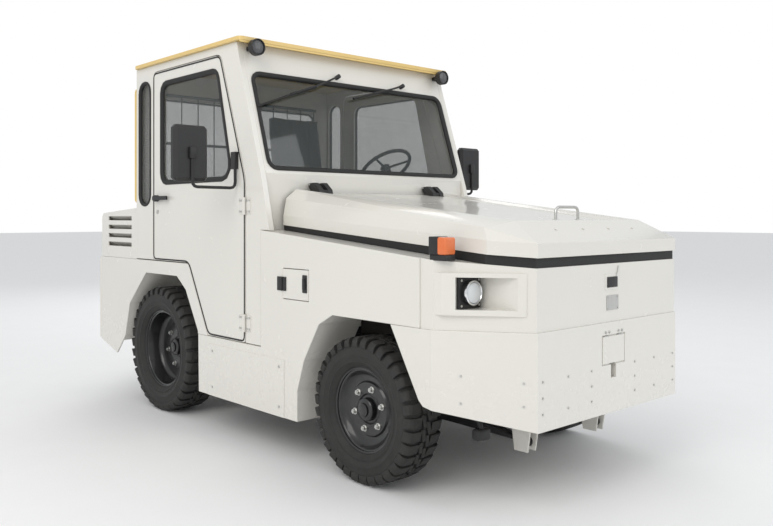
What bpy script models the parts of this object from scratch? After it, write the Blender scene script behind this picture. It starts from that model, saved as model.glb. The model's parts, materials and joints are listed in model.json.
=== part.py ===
"""Airport baggage tug: a four-wheeled tow tractor with a closed two-door cab.

Metres, +Z up.  The front faces -Y, the driver's left is +X, and the origin is on the
floor under the middle of the whole machine.  Places along the machine are given as a
distance behind the front plate ("d") and turned into Y by fy().
"""
import math

import bmesh
import bpy
from mathutils import Matrix, Vector

# ---------------------------------------------------------------- driving dimensions
OVERALL_LENGTH = 4.000      # front plate to the tip of the rear coupling
BODY_LENGTH = 3.834         # front plate to the rear plate
BODY_WIDTH = 1.719
NOSE_WIDTH = 1.192          # flat front face, between the chamfered corners
CHAMFER_LENGTH = 0.375      # how far back the corner chamfers reach
ROOF_HEIGHT = 2.358
ROOF_WIDTH = 1.766
ROOF_THICKNESS = 0.022
FRONT_AXLE_D = 0.897
WHEELBASE = 2.057
FRONT_TYRE_RADIUS = 0.3625
REAR_TYRE_RADIUS = 0.4177
TYRE_WIDTH = 0.225
REAR_TYRE_WIDTH = 0.250
FRONT_RIM_RADIUS = 0.205
REAR_RIM_RADIUS = 0.255
SHEET = 0.012               # body sheet thickness
DOOR_THICKNESS = 0.032
WALL = 0.035                # cab side thickness
GLASS = 0.006
GAP = 0.0003                # gap between touching pieces
DOOR_GAP = 0.006            # running gap round doors and lids
SIDE_CLEARANCE = 0.005

HALF_LENGTH = OVERALL_LENGTH / 2
SIDE = BODY_WIDTH / 2
NOSE = NOSE_WIDTH / 2
REAR_AXLE_D = FRONT_AXLE_D + WHEELBASE

# front plate and nose
BUMPER_BOTTOM = 0.387
BUMPER_TOP = 0.816
NOSE_TOP = 1.092
NOSE_SETBACK = 0.008
BUMPER_SIDE_END = 0.640     # where the bumper meets the top of the front arch
FENDER_TOP_SLOPE = 0.0868   # rise of the fender top for each metre behind the front
FLANGE = 0.185              # width of the fender top, partly under the hood
SKIRT_BOTTOM = 0.2266
SKIRT_TOP = 0.584           # just under the door

# hood
HOOD_SHEET = 0.008
HOOD_HALF = 0.720
HOOD_REAR_D = 1.672
HOOD_LIP_BOTTOM = 1.137
HOOD_LIP_TOP = 1.201
HOOD_BOTTOM_REAR = 1.266
HOOD_CREASE_REAR = 1.321
HOOD_SIDE_HALF = 0.700
HOOD_SIDE_TOP_FRONT = 1.268
HOOD_SIDE_TOP_REAR = 1.420
HOOD_CREST_FRONT_HALF = 0.530
HOOD_CREST_REAR_HALF = 0.630
HOOD_CREST_FRONT_D = 0.175
HOOD_CREST_FRONT = 1.297
HOOD_CREST_REAR = 1.472
HOOD_RIM = 0.035
HOOD_SINK = 0.016
HOOD_HINGE_D = 1.680
HOOD_HINGE_Z = 1.500
HOOD_CHEEKS = ((0.425, 0.4597), (0.4903, 0.525))    # inner and outer face of each hinge cheek

# cab, side view
COWL_D = 1.695
PILLAR_FOOT_D = 1.613
PILLAR_FOOT_Z = 1.239
PILLAR_KNEE_D = 1.684
PILLAR_KNEE_Z = 1.524
PILLAR_TOP_D = 1.912
PILLAR_TOP_Z = 2.224
HEADER_TOP_D = 1.940
CAB_REAR_D = 3.220
CAB_BOTTOM = 0.590
PLATFORM_Z = 1.022
FLOOR_PLATE = 0.040
DOOR_FRONT_D = 1.849
DOOR_REAR_D = 2.970
DOOR_TOP = 2.283
DOOR_KNEE_Z = 1.530
DOOR_TOP_FRONT_D = 2.118
DOOR_BOTTOM_REAR_D = 2.260
DOOR_STEP_D = 2.499
HINGE_D = 1.844
HINGE_OFFSET = 0.012        # hinge axis outside the cab side
HINGE_HEIGHTS = (0.704, 1.375)
REAR_WINDOW_HALF = 0.700

# rear body
ARCH_TOP_REAR = 0.928
COVER_TOP_FRONT = 1.374
COVER_TOP_REAR = 1.339
COVER_REAR_D = 3.790
COVER_BOTTOM = 1.016
REAR_PLATE = 0.030          # thickness of the rear plate
REAR_BOTTOM = 0.400
LOUVRES = 4
LOUVRE_PITCH = 0.062
LOUVRE_HEIGHT = 0.028

# running gear
KINGPIN_X = 0.590
FRONT_WHEEL_X = 0.718
REAR_WHEEL_X = 0.706
RAIL_X = 0.290
RAIL_WIDTH = 0.080
RAIL_DEPTH = 0.080
SPRING_WIDTH = 0.050
SPRING_EYE_D = 0.300
SPRING_EYE_Z = 0.236
SPRING_REAR_D = 1.480
WHEEL_STEPS = 28            # facets round a tyre
FRONT_DISC = 0.045          # outer face of the wheel disc from the tyre's middle
REAR_DISC = -0.030
HUB_DEPTH = 0.040

# driver's place
STEER_X = 0.430
STEER_D = 2.050
STEER_Z = 1.650
STEER_RADIUS = 0.200
STEER_TILT = math.radians(38)   # the steering wheel's plane above the horizontal

# mirrors
MIRROR_X = 1.172
MIRROR_D = 1.945
MIRROR_Z = 1.667
MIRROR_WIDTH = 0.212
MIRROR_HEIGHT = 0.312
MIRROR_DEPTH = 0.060

RIGHT, LEFT = -1, 1
SIDES = ((RIGHT, "right"), (LEFT, "left"))


def fy(distance):
    """Y of a place that lies this far behind the front plate."""
    return distance - HALF_LENGTH


# ---------------------------------------------------------------- scene and materials
def clear_scene():
    for old in list(bpy.data.objects):
        bpy.data.objects.remove(old, do_unlink=True)


def make_collection(name):
    collection = bpy.data.collections.new(name)
    bpy.context.scene.collection.children.link(collection)
    return collection


clear_scene()
PARTS = make_collection("baggage_tug")
CUTTERS = make_collection("cutters")


def finish(name, colour, roughness, metallic=0.0):
    material = bpy.data.materials.new(name)
    material.use_nodes = True
    shader = material.node_tree.nodes["Principled BSDF"]
    shader.inputs["Base Color"].default_value = (*colour, 1.0)
    shader.inputs["Roughness"].default_value = roughness
    shader.inputs["Metallic"].default_value = metallic
    return material


CREAM = finish("cream_paint", (0.74, 0.72, 0.66), 0.28)
BLACK = finish("black_paint", (0.012, 0.012, 0.012), 0.30)
PLASTIC = finish("black_plastic", (0.02, 0.02, 0.022), 0.50)
RUBBER = finish("tyre_rubber", (0.018, 0.018, 0.018), 0.75)
CHASSIS = finish("chassis_paint", (0.030, 0.030, 0.032), 0.55)
GLASS_TINT = finish("green_glass", (0.10, 0.16, 0.14), 0.05)
SEAT = finish("seat_vinyl", (0.025, 0.025, 0.028), 0.60)
IRON = finish("cast_iron", (0.10, 0.10, 0.10), 0.60, 0.6)


# ---------------------------------------------------------------- shape helpers
def link(name, mesh, material=None, collection=None):
    piece = bpy.data.objects.new(name, mesh)
    (collection or PARTS).objects.link(piece)
    if material:
        piece.data.materials.clear()
        piece.data.materials.append(material)
    return piece


def as_cutter(piece):
    for collection in list(piece.users_collection):
        collection.objects.unlink(piece)
    CUTTERS.objects.link(piece)
    piece.hide_render = True
    piece.display_type = "WIRE"
    return piece


def box(name, x, y, z, material=None, bevel=0.0, segments=1):
    """A box between the limits x, y and z, each a (low, high) pair."""
    bm = bmesh.new()
    bmesh.ops.create_cube(bm, size=1.0)
    size = (x[1] - x[0], y[1] - y[0], z[1] - z[0])
    middle = ((x[0] + x[1]) / 2, (y[0] + y[1]) / 2, (z[0] + z[1]) / 2)
    bmesh.ops.scale(bm, vec=size, verts=bm.verts)
    bmesh.ops.translate(bm, vec=middle, verts=bm.verts)
    mesh = bpy.data.meshes.new(name)
    bm.to_mesh(mesh)
    bm.free()
    piece = link(name, mesh, material)
    if bevel:
        rounding = piece.modifiers.new("edges", "BEVEL")
        rounding.width = bevel
        rounding.segments = segments
        rounding.limit_method = "ANGLE"
    return piece


def baked(piece):
    """The same piece with its modifiers applied, or a curve turned into a welded mesh."""
    graph = bpy.context.evaluated_depsgraph_get()
    graph.update()
    mesh = bpy.data.meshes.new_from_object(piece.evaluated_get(graph), depsgraph=graph)
    bm = bmesh.new()
    bm.from_mesh(mesh)
    bmesh.ops.remove_doubles(bm, verts=bm.verts, dist=1e-5)
    bm.to_mesh(mesh)
    bm.free()
    name = piece.name
    place = piece.matrix_world.copy()
    material = piece.data.materials[0] if piece.data.materials else None
    collection = piece.users_collection[0]
    bpy.data.objects.remove(piece, do_unlink=True)
    fresh = link(name, mesh, material, collection)
    fresh.matrix_world = place
    return fresh


AXIS_TURN = {
    # a flat outline (u, v) is extruded along this axis
    "x": Matrix(((0, 0, 1), (1, 0, 0), (0, 1, 0))).to_4x4(),   # u -> Y, v -> Z
    "y": Matrix(((1, 0, 0), (0, 0, -1), (0, 1, 0))).to_4x4(),  # u -> X, v -> Z
    "z": Matrix.Identity(4),                                   # u -> X, v -> Y
}


def rounded(points, radii, steps=4):
    """Replace the corners of a closed outline by arcs.  radii is a number or a list."""
    if not isinstance(radii, (list, tuple)):
        radii = [radii] * len(points)
    out = []
    count = len(points)
    for index, radius in enumerate(radii):
        corner = Vector(points[index])
        if not radius:
            out.append(tuple(corner))
            continue
        before = (Vector(points[index - 1]) - corner).normalized()
        after = (Vector(points[(index + 1) % count]) - corner).normalized()
        half = before.angle(after) / 2
        reach = radius / math.tan(half)
        centre = corner + (before + after).normalized() * radius / math.sin(half)
        start = corner + before * reach - centre
        sweep = start.angle_signed(corner + after * reach - centre)
        for step in range(steps + 1):
            turn = Matrix.Rotation(-sweep * step / steps, 2)
            out.append(tuple(centre + turn @ start))
    return out


def prism(name, points, axis, low, high, material=None, bevel=0.0):
    """A flat outline extruded from low to high along an axis."""
    curve = bpy.data.curves.new(name, "CURVE")
    curve.dimensions = "2D"
    curve.fill_mode = "BOTH"
    curve.extrude = (high - low) / 2
    spline = curve.splines.new("POLY")
    spline.points.add(len(points) - 1)
    for index, (u, v) in enumerate(points):
        spline.points[index].co = (u, v, 0, 1)
    spline.use_cyclic_u = True
    piece = link(name, curve, material)
    middle = (high + low) / 2
    turn = AXIS_TURN[axis]
    shift = -middle if axis == "y" else middle
    piece.matrix_world = turn @ Matrix.Translation((0, 0, shift))
    piece = baked(piece)
    piece.data.transform(piece.matrix_world)
    piece.matrix_world = Matrix.Identity(4)
    repair_normals(piece)
    if bevel:
        rounding = piece.modifiers.new("edges", "BEVEL")
        rounding.width = bevel
        rounding.segments = 1
        rounding.limit_method = "ANGLE"
        rounding.angle_limit = math.radians(40)
    return piece


def repair_normals(piece):
    bm = bmesh.new()
    bm.from_mesh(piece.data)
    bmesh.ops.recalc_face_normals(bm, faces=bm.faces)
    bm.to_mesh(piece.data)
    bm.free()


def boolean(piece, other, operation, solver="EXACT"):
    step = piece.modifiers.new(operation.lower(), "BOOLEAN")
    step.operation = operation
    step.object = other
    step.solver = solver
    as_cutter(other)
    return piece


def cut(piece, *cutters):
    for cutter in cutters:
        boolean(piece, cutter, "DIFFERENCE")
    return piece


def join(piece, *others):
    for other in others:
        boolean(piece, other, "UNION")
    return piece


def turned(name, profile, centre, axis, material, steps=32):
    """A (radius, along) profile turned about an axis through centre.

    The profile is open and runs from the axis round its outer side back to the axis.
    """
    bm = bmesh.new()
    corners = [bm.verts.new((radius, 0, along)) for radius, along in profile]
    for first, second in zip(corners, corners[1:]):
        bm.edges.new((first, second))
    mesh = bpy.data.meshes.new(name)
    bm.to_mesh(mesh)
    bm.free()
    piece = link(name, mesh, material)
    spin = piece.modifiers.new("turn", "SCREW")
    spin.steps = steps
    spin.render_steps = steps
    spin.use_merge_vertices = True
    spin.merge_threshold = 1e-5
    spin.use_smooth_shade = True
    half_step = Matrix.Rotation(math.pi / steps, 4, "X")
    turn = {"x": half_step @ Matrix.Rotation(math.pi / 2, 4, "Y"),
            "y": Matrix.Rotation(-math.pi / 2, 4, "X"),
            "z": Matrix.Identity(4)}[axis]
    piece.matrix_world = Matrix.Translation(centre) @ turn
    piece = baked(piece)
    piece.data.transform(piece.matrix_world)
    piece.matrix_world = Matrix.Identity(4)
    repair_normals(piece)
    return piece


def disc(name, radius, low, high, centre, axis, material=None, steps=24):
    profile = ((0, high), (radius, high), (radius, low), (0, low))
    return turned(name, profile, centre, axis, material, steps)


def tube(name, points, radius, material, sides=2):
    """A round bar through a short list of points."""
    curve = bpy.data.curves.new(name, "CURVE")
    curve.dimensions = "3D"
    curve.bevel_depth = radius
    curve.bevel_resolution = sides
    curve.use_fill_caps = True
    spline = curve.splines.new("POLY")
    spline.points.add(len(points) - 1)
    for index, point in enumerate(points):
        spline.points[index].co = (*point, 1)
    piece = link(name, curve, material)
    piece = baked(piece)
    repair_normals(piece)
    return piece


def bent(points, radius, steps=3):
    """A 3-D route with its inner corners replaced by arcs."""
    out = [Vector(points[0])]
    for before, corner, after in zip(points, points[1:], points[2:]):
        corner = Vector(corner)
        back = (Vector(before) - corner).normalized()
        ahead = (Vector(after) - corner).normalized()
        half = back.angle(ahead) / 2
        reach = radius / math.tan(half)
        start = corner + back * reach
        end = corner + ahead * reach
        for step in range(steps + 1):
            t = step / steps
            out.append(start * (1 - t) ** 2 + corner * 2 * t * (1 - t) + end * t ** 2)
    out.append(Vector(points[-1]))
    return out


def side_limits(side, inner, outer):
    """The x limits of a slab on one side, from its distances off the middle."""
    return (inner, outer) if side > 0 else (-outer, -inner)


# ---------------------------------------------------------------- shared outlines
def side_view(points):
    return [(fy(distance), z) for distance, z in points]


def fender_top(distance):
    """Height of the fender top at its inner edge."""
    return NOSE_TOP + FENDER_TOP_SLOPE * distance


def pillar_front(z):
    """Distance of the cab's front plane at height z."""
    slope = (PILLAR_TOP_D - PILLAR_KNEE_D) / (PILLAR_TOP_Z - PILLAR_KNEE_Z)
    return PILLAR_KNEE_D + slope * (z - PILLAR_KNEE_Z)


def cab_front_depth(z):
    """Distance of the cab front's outer face at height z: cowl, windscreen plane, header."""
    if z > PILLAR_TOP_Z:
        over = (z - PILLAR_TOP_Z) / (ROOF_HEIGHT - ROOF_THICKNESS - PILLAR_TOP_Z)
        return PILLAR_TOP_D + over * (HEADER_TOP_D - PILLAR_TOP_D)
    return max(pillar_front(z), COWL_D + 0.002)


def nose_plan(inset, rear, half_width=SIDE):
    """Plan of the nose, pulled in by inset, from its front to the distance rear."""
    run = math.hypot(CHAMFER_LENGTH, SIDE - NOSE)
    corner = NOSE - inset * (run - CHAMFER_LENGTH) / (SIDE - NOSE)
    side = half_width - inset
    side_start = inset + (side - corner) * CHAMFER_LENGTH / (SIDE - NOSE)
    half = ((corner, inset), (side, side_start), (side, rear))
    return [(x, fy(d)) for x, d in half] + [(-x, fy(d)) for x, d in reversed(half)]


def door_outline(grow):
    """The door leaf's edge in the side view, grown by a running gap."""
    return side_view(rounded([
        (DOOR_REAR_D + grow, PLATFORM_Z - grow),
        (DOOR_REAR_D + grow, DOOR_TOP + grow),
        (DOOR_TOP_FRONT_D - grow * 0.8, DOOR_TOP + grow),
        (DOOR_FRONT_D - grow, DOOR_KNEE_Z + grow * 0.2),
        (DOOR_FRONT_D - grow, CAB_BOTTOM - grow),
        (DOOR_BOTTOM_REAR_D + grow * 0.5, CAB_BOTTOM - grow),
        (DOOR_STEP_D + grow * 0.5, PLATFORM_Z - grow),
    ], [0.02, 0.05, 0.07, 0, 0.02, 0.02, 0.02], 3))


def door_window(grow):
    """The opening for the door glass, grown to the seat of the glass."""
    return side_view(rounded([
        (2.848 + grow, 1.545 - grow),
        (2.848 + grow, 2.190 + grow),
        (2.160 - grow * 0.6, 2.190 + grow),
        (2.000 - grow, 1.545 - grow),
    ], [0.06 + grow, 0.06 + grow, 0.06 + grow, 0.08 + grow], 3))


def quarter_window(grow):
    return side_view(rounded([
        (3.170 + grow, 1.395 - grow),
        (3.170 + grow, 2.228 + grow),
        (3.015 - grow, 2.228 + grow),
        (3.015 - grow, 1.395 - grow),
    ], 0.070 + grow, 4))


# ---------------------------------------------------------------- front end
def make_front_bumper():
    outline = side_view([(0, BUMPER_BOTTOM), (0, BUMPER_TOP), (BUMPER_SIDE_END, BUMPER_TOP),
                         (0.457, 0.495), (0.430, 0.470), (CHAMFER_LENGTH, 0.461)])
    piece = prism("front_bumper", outline, "x", -SIDE, SIDE, CREAM)
    for side, label in SIDES:
        reach = 0.5
        corner = Vector((side * NOSE, fy(0)))
        along = Vector((side * (SIDE - NOSE), CHAMFER_LENGTH)).normalized()
        out = Vector((side * abs(along.y), -abs(along.x)))
        start = corner - along * reach
        end = corner + along * (reach + 0.5)
        plan = [tuple(start), tuple(end), tuple(end + out * reach), tuple(start + out * reach)]
        cut(piece, prism(f"chamfer_{label}", plan, "z", 0.2, 1.0))
    # pocket for the hinged coupling flap
    cut(piece, box("flap_pocket", (-0.100, 0.100), (fy(-0.1), fy(0.008)), (0.615, 0.757)))
    cut(piece, box("pin_slot", (-0.022, 0.022), (fy(-0.1), fy(0.120)), (0.552, 0.646)))
    for side, label in SIDES:
        for number, x in enumerate((-1, 1)):
            middle = side * RAIL_X + x * (SPRING_WIDTH / 2 + SIDE_CLEARANCE)
            plate = prism(f"hanger_{label}_{number}", side_view([
                (SPRING_EYE_D - 0.040, SPRING_EYE_Z - 0.040),
                (SPRING_EYE_D + 0.040, SPRING_EYE_Z - 0.040),
                (SPRING_EYE_D + 0.080, 0.470), (SPRING_EYE_D - 0.080, 0.470)]), "x",
                middle - 0.004, middle + 0.004)
            join(piece, plate)
    return piece


def make_nose():
    """Upper nose: front panel, corner panels and the flanges that the hood closes on."""
    rear = 0.450
    piece = prism("nose_panel", nose_plan(NOSE_SETBACK, rear), "z", BUMPER_TOP + GAP, 1.2, CREAM)
    top = side_view([(-0.2, fender_top(-0.2)), (0.8, fender_top(0.8)), (0.8, 1.5), (-0.2, 1.5)])
    cut(piece, prism("nose_top", top, "x", -1.2, 1.2))
    inner = prism("nose_inside", nose_plan(NOSE_SETBACK + SHEET, rear + 0.1), "z", 0.7, 1.3)
    under_flange = side_view([(-0.2, 0.6), (-0.2, fender_top(-0.2) - SHEET),
                              (0.8, fender_top(0.8) - SHEET), (0.8, 0.6)])
    boolean(inner, prism("nose_under_flange", under_flange, "x", -1.2, 1.2), "INTERSECT")
    mouth = prism("nose_mouth", nose_plan(FLANGE, rear + 0.1), "z", 0.7, 1.4)
    cut(piece, baked(inner), mouth)
    for side, label in SIDES:
        bucket = [(side * x, fy(d)) for x, d in
                  ((0.846, 0.330), (0.846, 0.372), (0.620, 0.372), (0.620, 0.040), (0.637, 0.058))]
        notch = [(side * x, fy(d)) for x, d in
                 ((0.797, 0.287), (0.650, 0.287), (0.6445, 0.068), (0.800, -0.050), (0.950, 0.200))]
        join(piece, prism(f"lamp_bucket_{label}", bucket, "z", 0.885, 1.070))
        cut(piece, prism(f"lamp_notch_{label}", notch, "z", 0.910, 1.051))
    return piece


def make_front_fender(side, label):
    """Fender side, its flat top and the arch liner, from the nose back to the cab."""
    front, back = 0.450 + GAP, COWL_D - GAP
    outline = side_view([
        (front, BUMPER_TOP + GAP), (front, fender_top(front)), (back, fender_top(back)),
        (back, SKIRT_TOP), (2.3790, SKIRT_TOP), (2.3720, SKIRT_BOTTOM), (1.356, SKIRT_BOTTOM),
        (1.356, 0.392), (1.297, 0.561), (1.172, 0.762), (1.064, 0.8185),
        (0.640, BUMPER_TOP + GAP)])
    inner_edge = SIDE - 0.300
    piece = prism(f"front_fender_{label}", outline, "x",
                  *side_limits(side, inner_edge, SIDE), CREAM)
    lining = SHEET
    hollow = side_view([
        (front - 0.1, BUMPER_TOP + SHEET), (front - 0.1, fender_top(front - 0.1) - SHEET),
        (back - SHEET, fender_top(back) - SHEET), (back - SHEET, SKIRT_TOP - SHEET),
        (2.3790 - SHEET, SKIRT_TOP - SHEET), (2.3720 - SHEET, 0.1),
        (1.356 + lining, 0.1), (1.356 + lining, 0.395), (1.308, 0.567), (1.180, 0.772),
        (1.067, 0.8185 + lining), (0.640, BUMPER_TOP + SHEET)])
    cut(piece, prism(f"fender_hollow_{label}", hollow, "x",
                     *side_limits(side, inner_edge - 0.1, SIDE - SHEET)))
    mouth = side_view([(front - 0.1, 0.850), (front - 0.1, 1.5), (back - 0.030, 1.5),
                       (back - 0.030, 0.850)])
    cut(piece, prism(f"fender_mouth_{label}", mouth, "x",
                     *side_limits(side, 0.2, SIDE - FLANGE)))
    if side == RIGHT:
        hatch = side_view([(1.257, 0.870), (1.257, 1.037), (1.485, 1.037), (1.485, 0.870)])
        cut(piece, prism("hatch_hole", hatch, "x", -SIDE - 0.1, -SIDE + SHEET + 0.01))
    return piece


def make_fuel_hatch():
    edge = DOOR_GAP / 2
    hinge_edge = 1.485 - 2 * GAP
    outline = side_view([(1.257 + edge, 0.870 + edge), (1.257 + edge, 1.037 - edge),
                         (hinge_edge, 1.037 - edge), (hinge_edge, 0.870 + edge)])
    return prism("fuel_hatch", outline, "x", -SIDE, -SIDE + SHEET, CREAM)


def make_front_flap():
    return box("coupling_flap", (-0.093, 0.093), (fy(0.0), fy(0.0075)), (0.622, 0.750), CREAM)


def hood_bottom(distance):
    return HOOD_LIP_BOTTOM + (HOOD_BOTTOM_REAR - HOOD_LIP_BOTTOM) * distance / HOOD_REAR_D


def hood_crease(distance):
    return HOOD_LIP_TOP + (HOOD_CREASE_REAR - HOOD_LIP_TOP) * distance / HOOD_REAR_D


def make_hood():
    """Hood shell, lofted from its lip up to the sunken middle panel, one half mirrored."""
    chamfer_d = (HOOD_HALF - NOSE) * CHAMFER_LENGTH / (SIDE - NOSE)
    crest_run = HOOD_REAR_D - HOOD_CREST_FRONT_D
    narrow = (HOOD_CREST_REAR_HALF - HOOD_CREST_FRONT_HALF) / crest_run
    rise = (HOOD_CREST_REAR - HOOD_CREST_FRONT) / crest_run
    rim_d = HOOD_CREST_FRONT_D + HOOD_RIM
    end_d = HOOD_REAR_D
    rim_half = HOOD_CREST_FRONT_HALF + narrow * HOOD_RIM - HOOD_RIM
    rim_z = HOOD_CREST_FRONT + rise * HOOD_RIM
    rim_end = HOOD_CREST_REAR_HALF - HOOD_RIM
    well_d = rim_d + HOOD_RIM
    well_half = rim_half - HOOD_RIM * 0.7
    well_z = rim_z + rise * HOOD_RIM - HOOD_SINK
    well_end = rim_end - HOOD_RIM * 0.7
    # name: (x, distance, z)
    corner = {
        "lip0": (0, 0, HOOD_LIP_BOTTOM), "lip1": (NOSE, 0, HOOD_LIP_BOTTOM),
        "lip2": (HOOD_HALF, chamfer_d, hood_bottom(chamfer_d)),
        "lip3": (HOOD_HALF, end_d, HOOD_BOTTOM_REAR),
        "band0": (0, 0, HOOD_LIP_TOP), "band1": (NOSE, 0, HOOD_LIP_TOP),
        "band2": (HOOD_HALF, chamfer_d, hood_crease(chamfer_d)),
        "band3": (HOOD_HALF, end_d, HOOD_CREASE_REAR),
        "side2": (HOOD_SIDE_HALF, 0.210, HOOD_SIDE_TOP_FRONT),
        "side3": (HOOD_SIDE_HALF, end_d, HOOD_SIDE_TOP_REAR),
        "crest0": (0, HOOD_CREST_FRONT_D, HOOD_CREST_FRONT),
        "crest1": (HOOD_CREST_FRONT_HALF, HOOD_CREST_FRONT_D, HOOD_CREST_FRONT),
        "crest3": (HOOD_CREST_REAR_HALF, end_d, HOOD_CREST_REAR),
        "rim0": (0, rim_d, rim_z), "rim1": (rim_half, rim_d, rim_z),
        "rim3": (rim_end, end_d, HOOD_CREST_REAR),
        "well0": (0, well_d, well_z), "well1": (well_half, well_d, well_z),
        "well3": (well_end, end_d, HOOD_CREST_REAR - HOOD_SINK),
        "back0": (0, end_d, HOOD_CREST_REAR - HOOD_SINK),
    }
    panels = (("lip0", "lip1", "band1", "band0"), ("lip1", "lip2", "band2", "band1"),
              ("lip2", "lip3", "band3", "band2"), ("band2", "band3", "side3", "side2"),
              ("band1", "band2", "side2", "crest1"), ("band0", "band1", "crest1", "crest0"),
              ("side2", "side3", "crest3", "crest1"), ("crest0", "crest1", "rim1", "rim0"),
              ("crest1", "crest3", "rim3", "rim1"), ("rim0", "rim1", "well1", "well0"),
              ("rim1", "rim3", "well3", "well1"), ("well0", "well1", "well3", "back0"))
    bm = bmesh.new()
    verts = {name: bm.verts.new((x, fy(d), z)) for name, (x, d, z) in corner.items()}
    for panel in panels:
        bm.faces.new([verts[name] for name in panel])
    mesh = bpy.data.meshes.new("hood")
    bm.to_mesh(mesh)
    bm.free()
    piece = link("hood", mesh, CREAM)
    mirror = piece.modifiers.new("halves", "MIRROR")
    mirror.merge_threshold = 1e-4
    wall = piece.modifiers.new("sheet", "SOLIDIFY")
    wall.thickness = HOOD_SHEET
    wall.offset = -1
    wall.use_even_offset = True
    return piece


def hood_slope():
    return (HOOD_CREST_REAR - HOOD_CREST_FRONT) / (HOOD_REAR_D - HOOD_CREST_FRONT_D)


def hood_well(distance):
    """Height of the sunken middle panel of the hood."""
    return HOOD_CREST_REAR - HOOD_SINK - hood_slope() * (HOOD_REAR_D - distance)


def make_hood_seal():
    """Rubber strip that lies on the nose and fender tops and carries the hood's edge."""
    rear = HOOD_REAR_D - 0.002
    strip = prism("hood_seal", nose_plan(0.014, rear, HOOD_HALF + 0.010), "z", 1.0, 1.4, RUBBER)
    inner = prism("seal_inside", nose_plan(0.040, rear + 0.1, HOOD_HALF + 0.010), "z", 0.9, 1.5)
    cut(strip, inner)
    band = side_view([(-0.2, fender_top(-0.2) + GAP), (-0.2, hood_bottom(-0.2) - GAP),
                      (2.0, hood_bottom(2.0) - GAP), (2.0, fender_top(2.0) + GAP)])
    return boolean(strip, prism("seal_band", band, "x", -1.0, 1.0), "INTERSECT")


def make_hood_hinge(side, label):
    """Black hinge arm on the rear of the hood; its two cheeks turn about the cowl's lug."""
    arms = []
    for number, (inner, outer) in enumerate(HOOD_CHEEKS):
        cheek = prism(f"hood_hinge_{label}_{number}", side_view([
            (1.585, hood_well(1.585) + GAP), (1.665, hood_well(1.665) + GAP),
            (HOOD_HINGE_D + 0.010, HOOD_HINGE_Z - 0.008), (HOOD_HINGE_D + 0.010, HOOD_HINGE_Z + 0.008),
            (1.640, HOOD_HINGE_Z + 0.012), (1.590, hood_well(1.590) + 0.024)]), "x",
            *side_limits(side, inner, outer), PLASTIC)
        arms.append(cheek)
    bridge = prism(f"hinge_bridge_{label}", side_view([
        (1.590, hood_well(1.590) + GAP), (1.655, hood_well(1.655) + GAP),
        (1.655, hood_well(1.655) + 0.022), (1.590, hood_well(1.590) + 0.022)]), "x",
        *side_limits(side, HOOD_CHEEKS[0][0] + 0.002, HOOD_CHEEKS[1][1] - 0.002))
    arms[0].name = f"hood_hinge_{label}"
    return join(arms[0], arms[1], bridge)


# ---------------------------------------------------------------- cab
def make_cab_side(side, label):
    """Flat cab side with its door opening, quarter window and the fixed hinge leaves."""
    outline = side_view([
        (COWL_D, CAB_BOTTOM + GAP), (COWL_D, fender_top(COWL_D) + 0.002),
        (PILLAR_FOOT_D, PILLAR_FOOT_Z), (PILLAR_KNEE_D, PILLAR_KNEE_Z),
        (PILLAR_TOP_D, PILLAR_TOP_Z), (HEADER_TOP_D, ROOF_HEIGHT - ROOF_THICKNESS - GAP),
        (CAB_REAR_D, ROOF_HEIGHT - ROOF_THICKNESS - GAP), (CAB_REAR_D, PLATFORM_Z + GAP),
        (DOOR_STEP_D + 0.02, PLATFORM_Z + GAP), (DOOR_STEP_D, PLATFORM_Z + GAP),
        (DOOR_BOTTOM_REAR_D, CAB_BOTTOM + GAP)])
    piece = prism(f"cab_side_{label}", outline, "x", *side_limits(side, SIDE - WALL, SIDE), CREAM)
    reach = side_limits(side, SIDE - WALL - 0.1, SIDE + 0.1)
    door_hole = prism(f"door_hole_{label}", door_outline(DOOR_GAP), "x", *reach)
    boolean(piece, door_hole, "DIFFERENCE", "MANIFOLD")
    cut(piece, prism(f"quarter_hole_{label}", quarter_window(0), "x", *reach))
    for number, z in enumerate(HINGE_HEIGHTS):
        leaf = box(f"fixed_leaf_{label}_{number}", side_limits(side, SIDE - 0.010, SIDE + 0.006),
                   (fy(HINGE_D - 0.055), fy(HINGE_D - 0.0125)), (z - 0.045, z + 0.045))
        join(piece, leaf)
    return piece


def make_quarter_glass(side, label):
    middle = SIDE - WALL / 2
    return prism(f"quarter_glass_{label}", quarter_window(-GAP), "x",
                 *side_limits(side, middle - GLASS / 2, middle + GLASS / 2), GLASS_TINT)


def make_door(side, label):
    """Door leaf with its window cut, and the moving halves of its two hinges."""
    piece = prism(f"door_{label}", door_outline(0), "x",
                  *side_limits(side, SIDE - DOOR_THICKNESS, SIDE), CREAM)
    cut(piece, prism(f"door_window_{label}", door_window(0), "x",
                     *side_limits(side, SIDE - 0.2, SIDE + 0.1)))
    for number, z in enumerate(HINGE_HEIGHTS):
        axis_x = side * (SIDE + HINGE_OFFSET)
        barrel = disc(f"barrel_{label}_{number}", 0.011, -0.050, 0.050,
                      (axis_x, fy(HINGE_D), z), "z", steps=12)
        leaf = box(f"moving_leaf_{label}_{number}", side_limits(side, SIDE - 0.010, SIDE + 0.007),
                   (fy(HINGE_D), fy(HINGE_D + 0.060)), (z - 0.045, z + 0.045))
        join(piece, leaf, barrel)
    return piece


def make_door_glass(side, label):
    middle = SIDE - DOOR_THICKNESS / 2
    return prism(f"door_glass_{label}", door_window(-GAP), "x",
                 *side_limits(side, middle - GLASS / 2, middle + GLASS / 2), GLASS_TINT)


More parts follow.
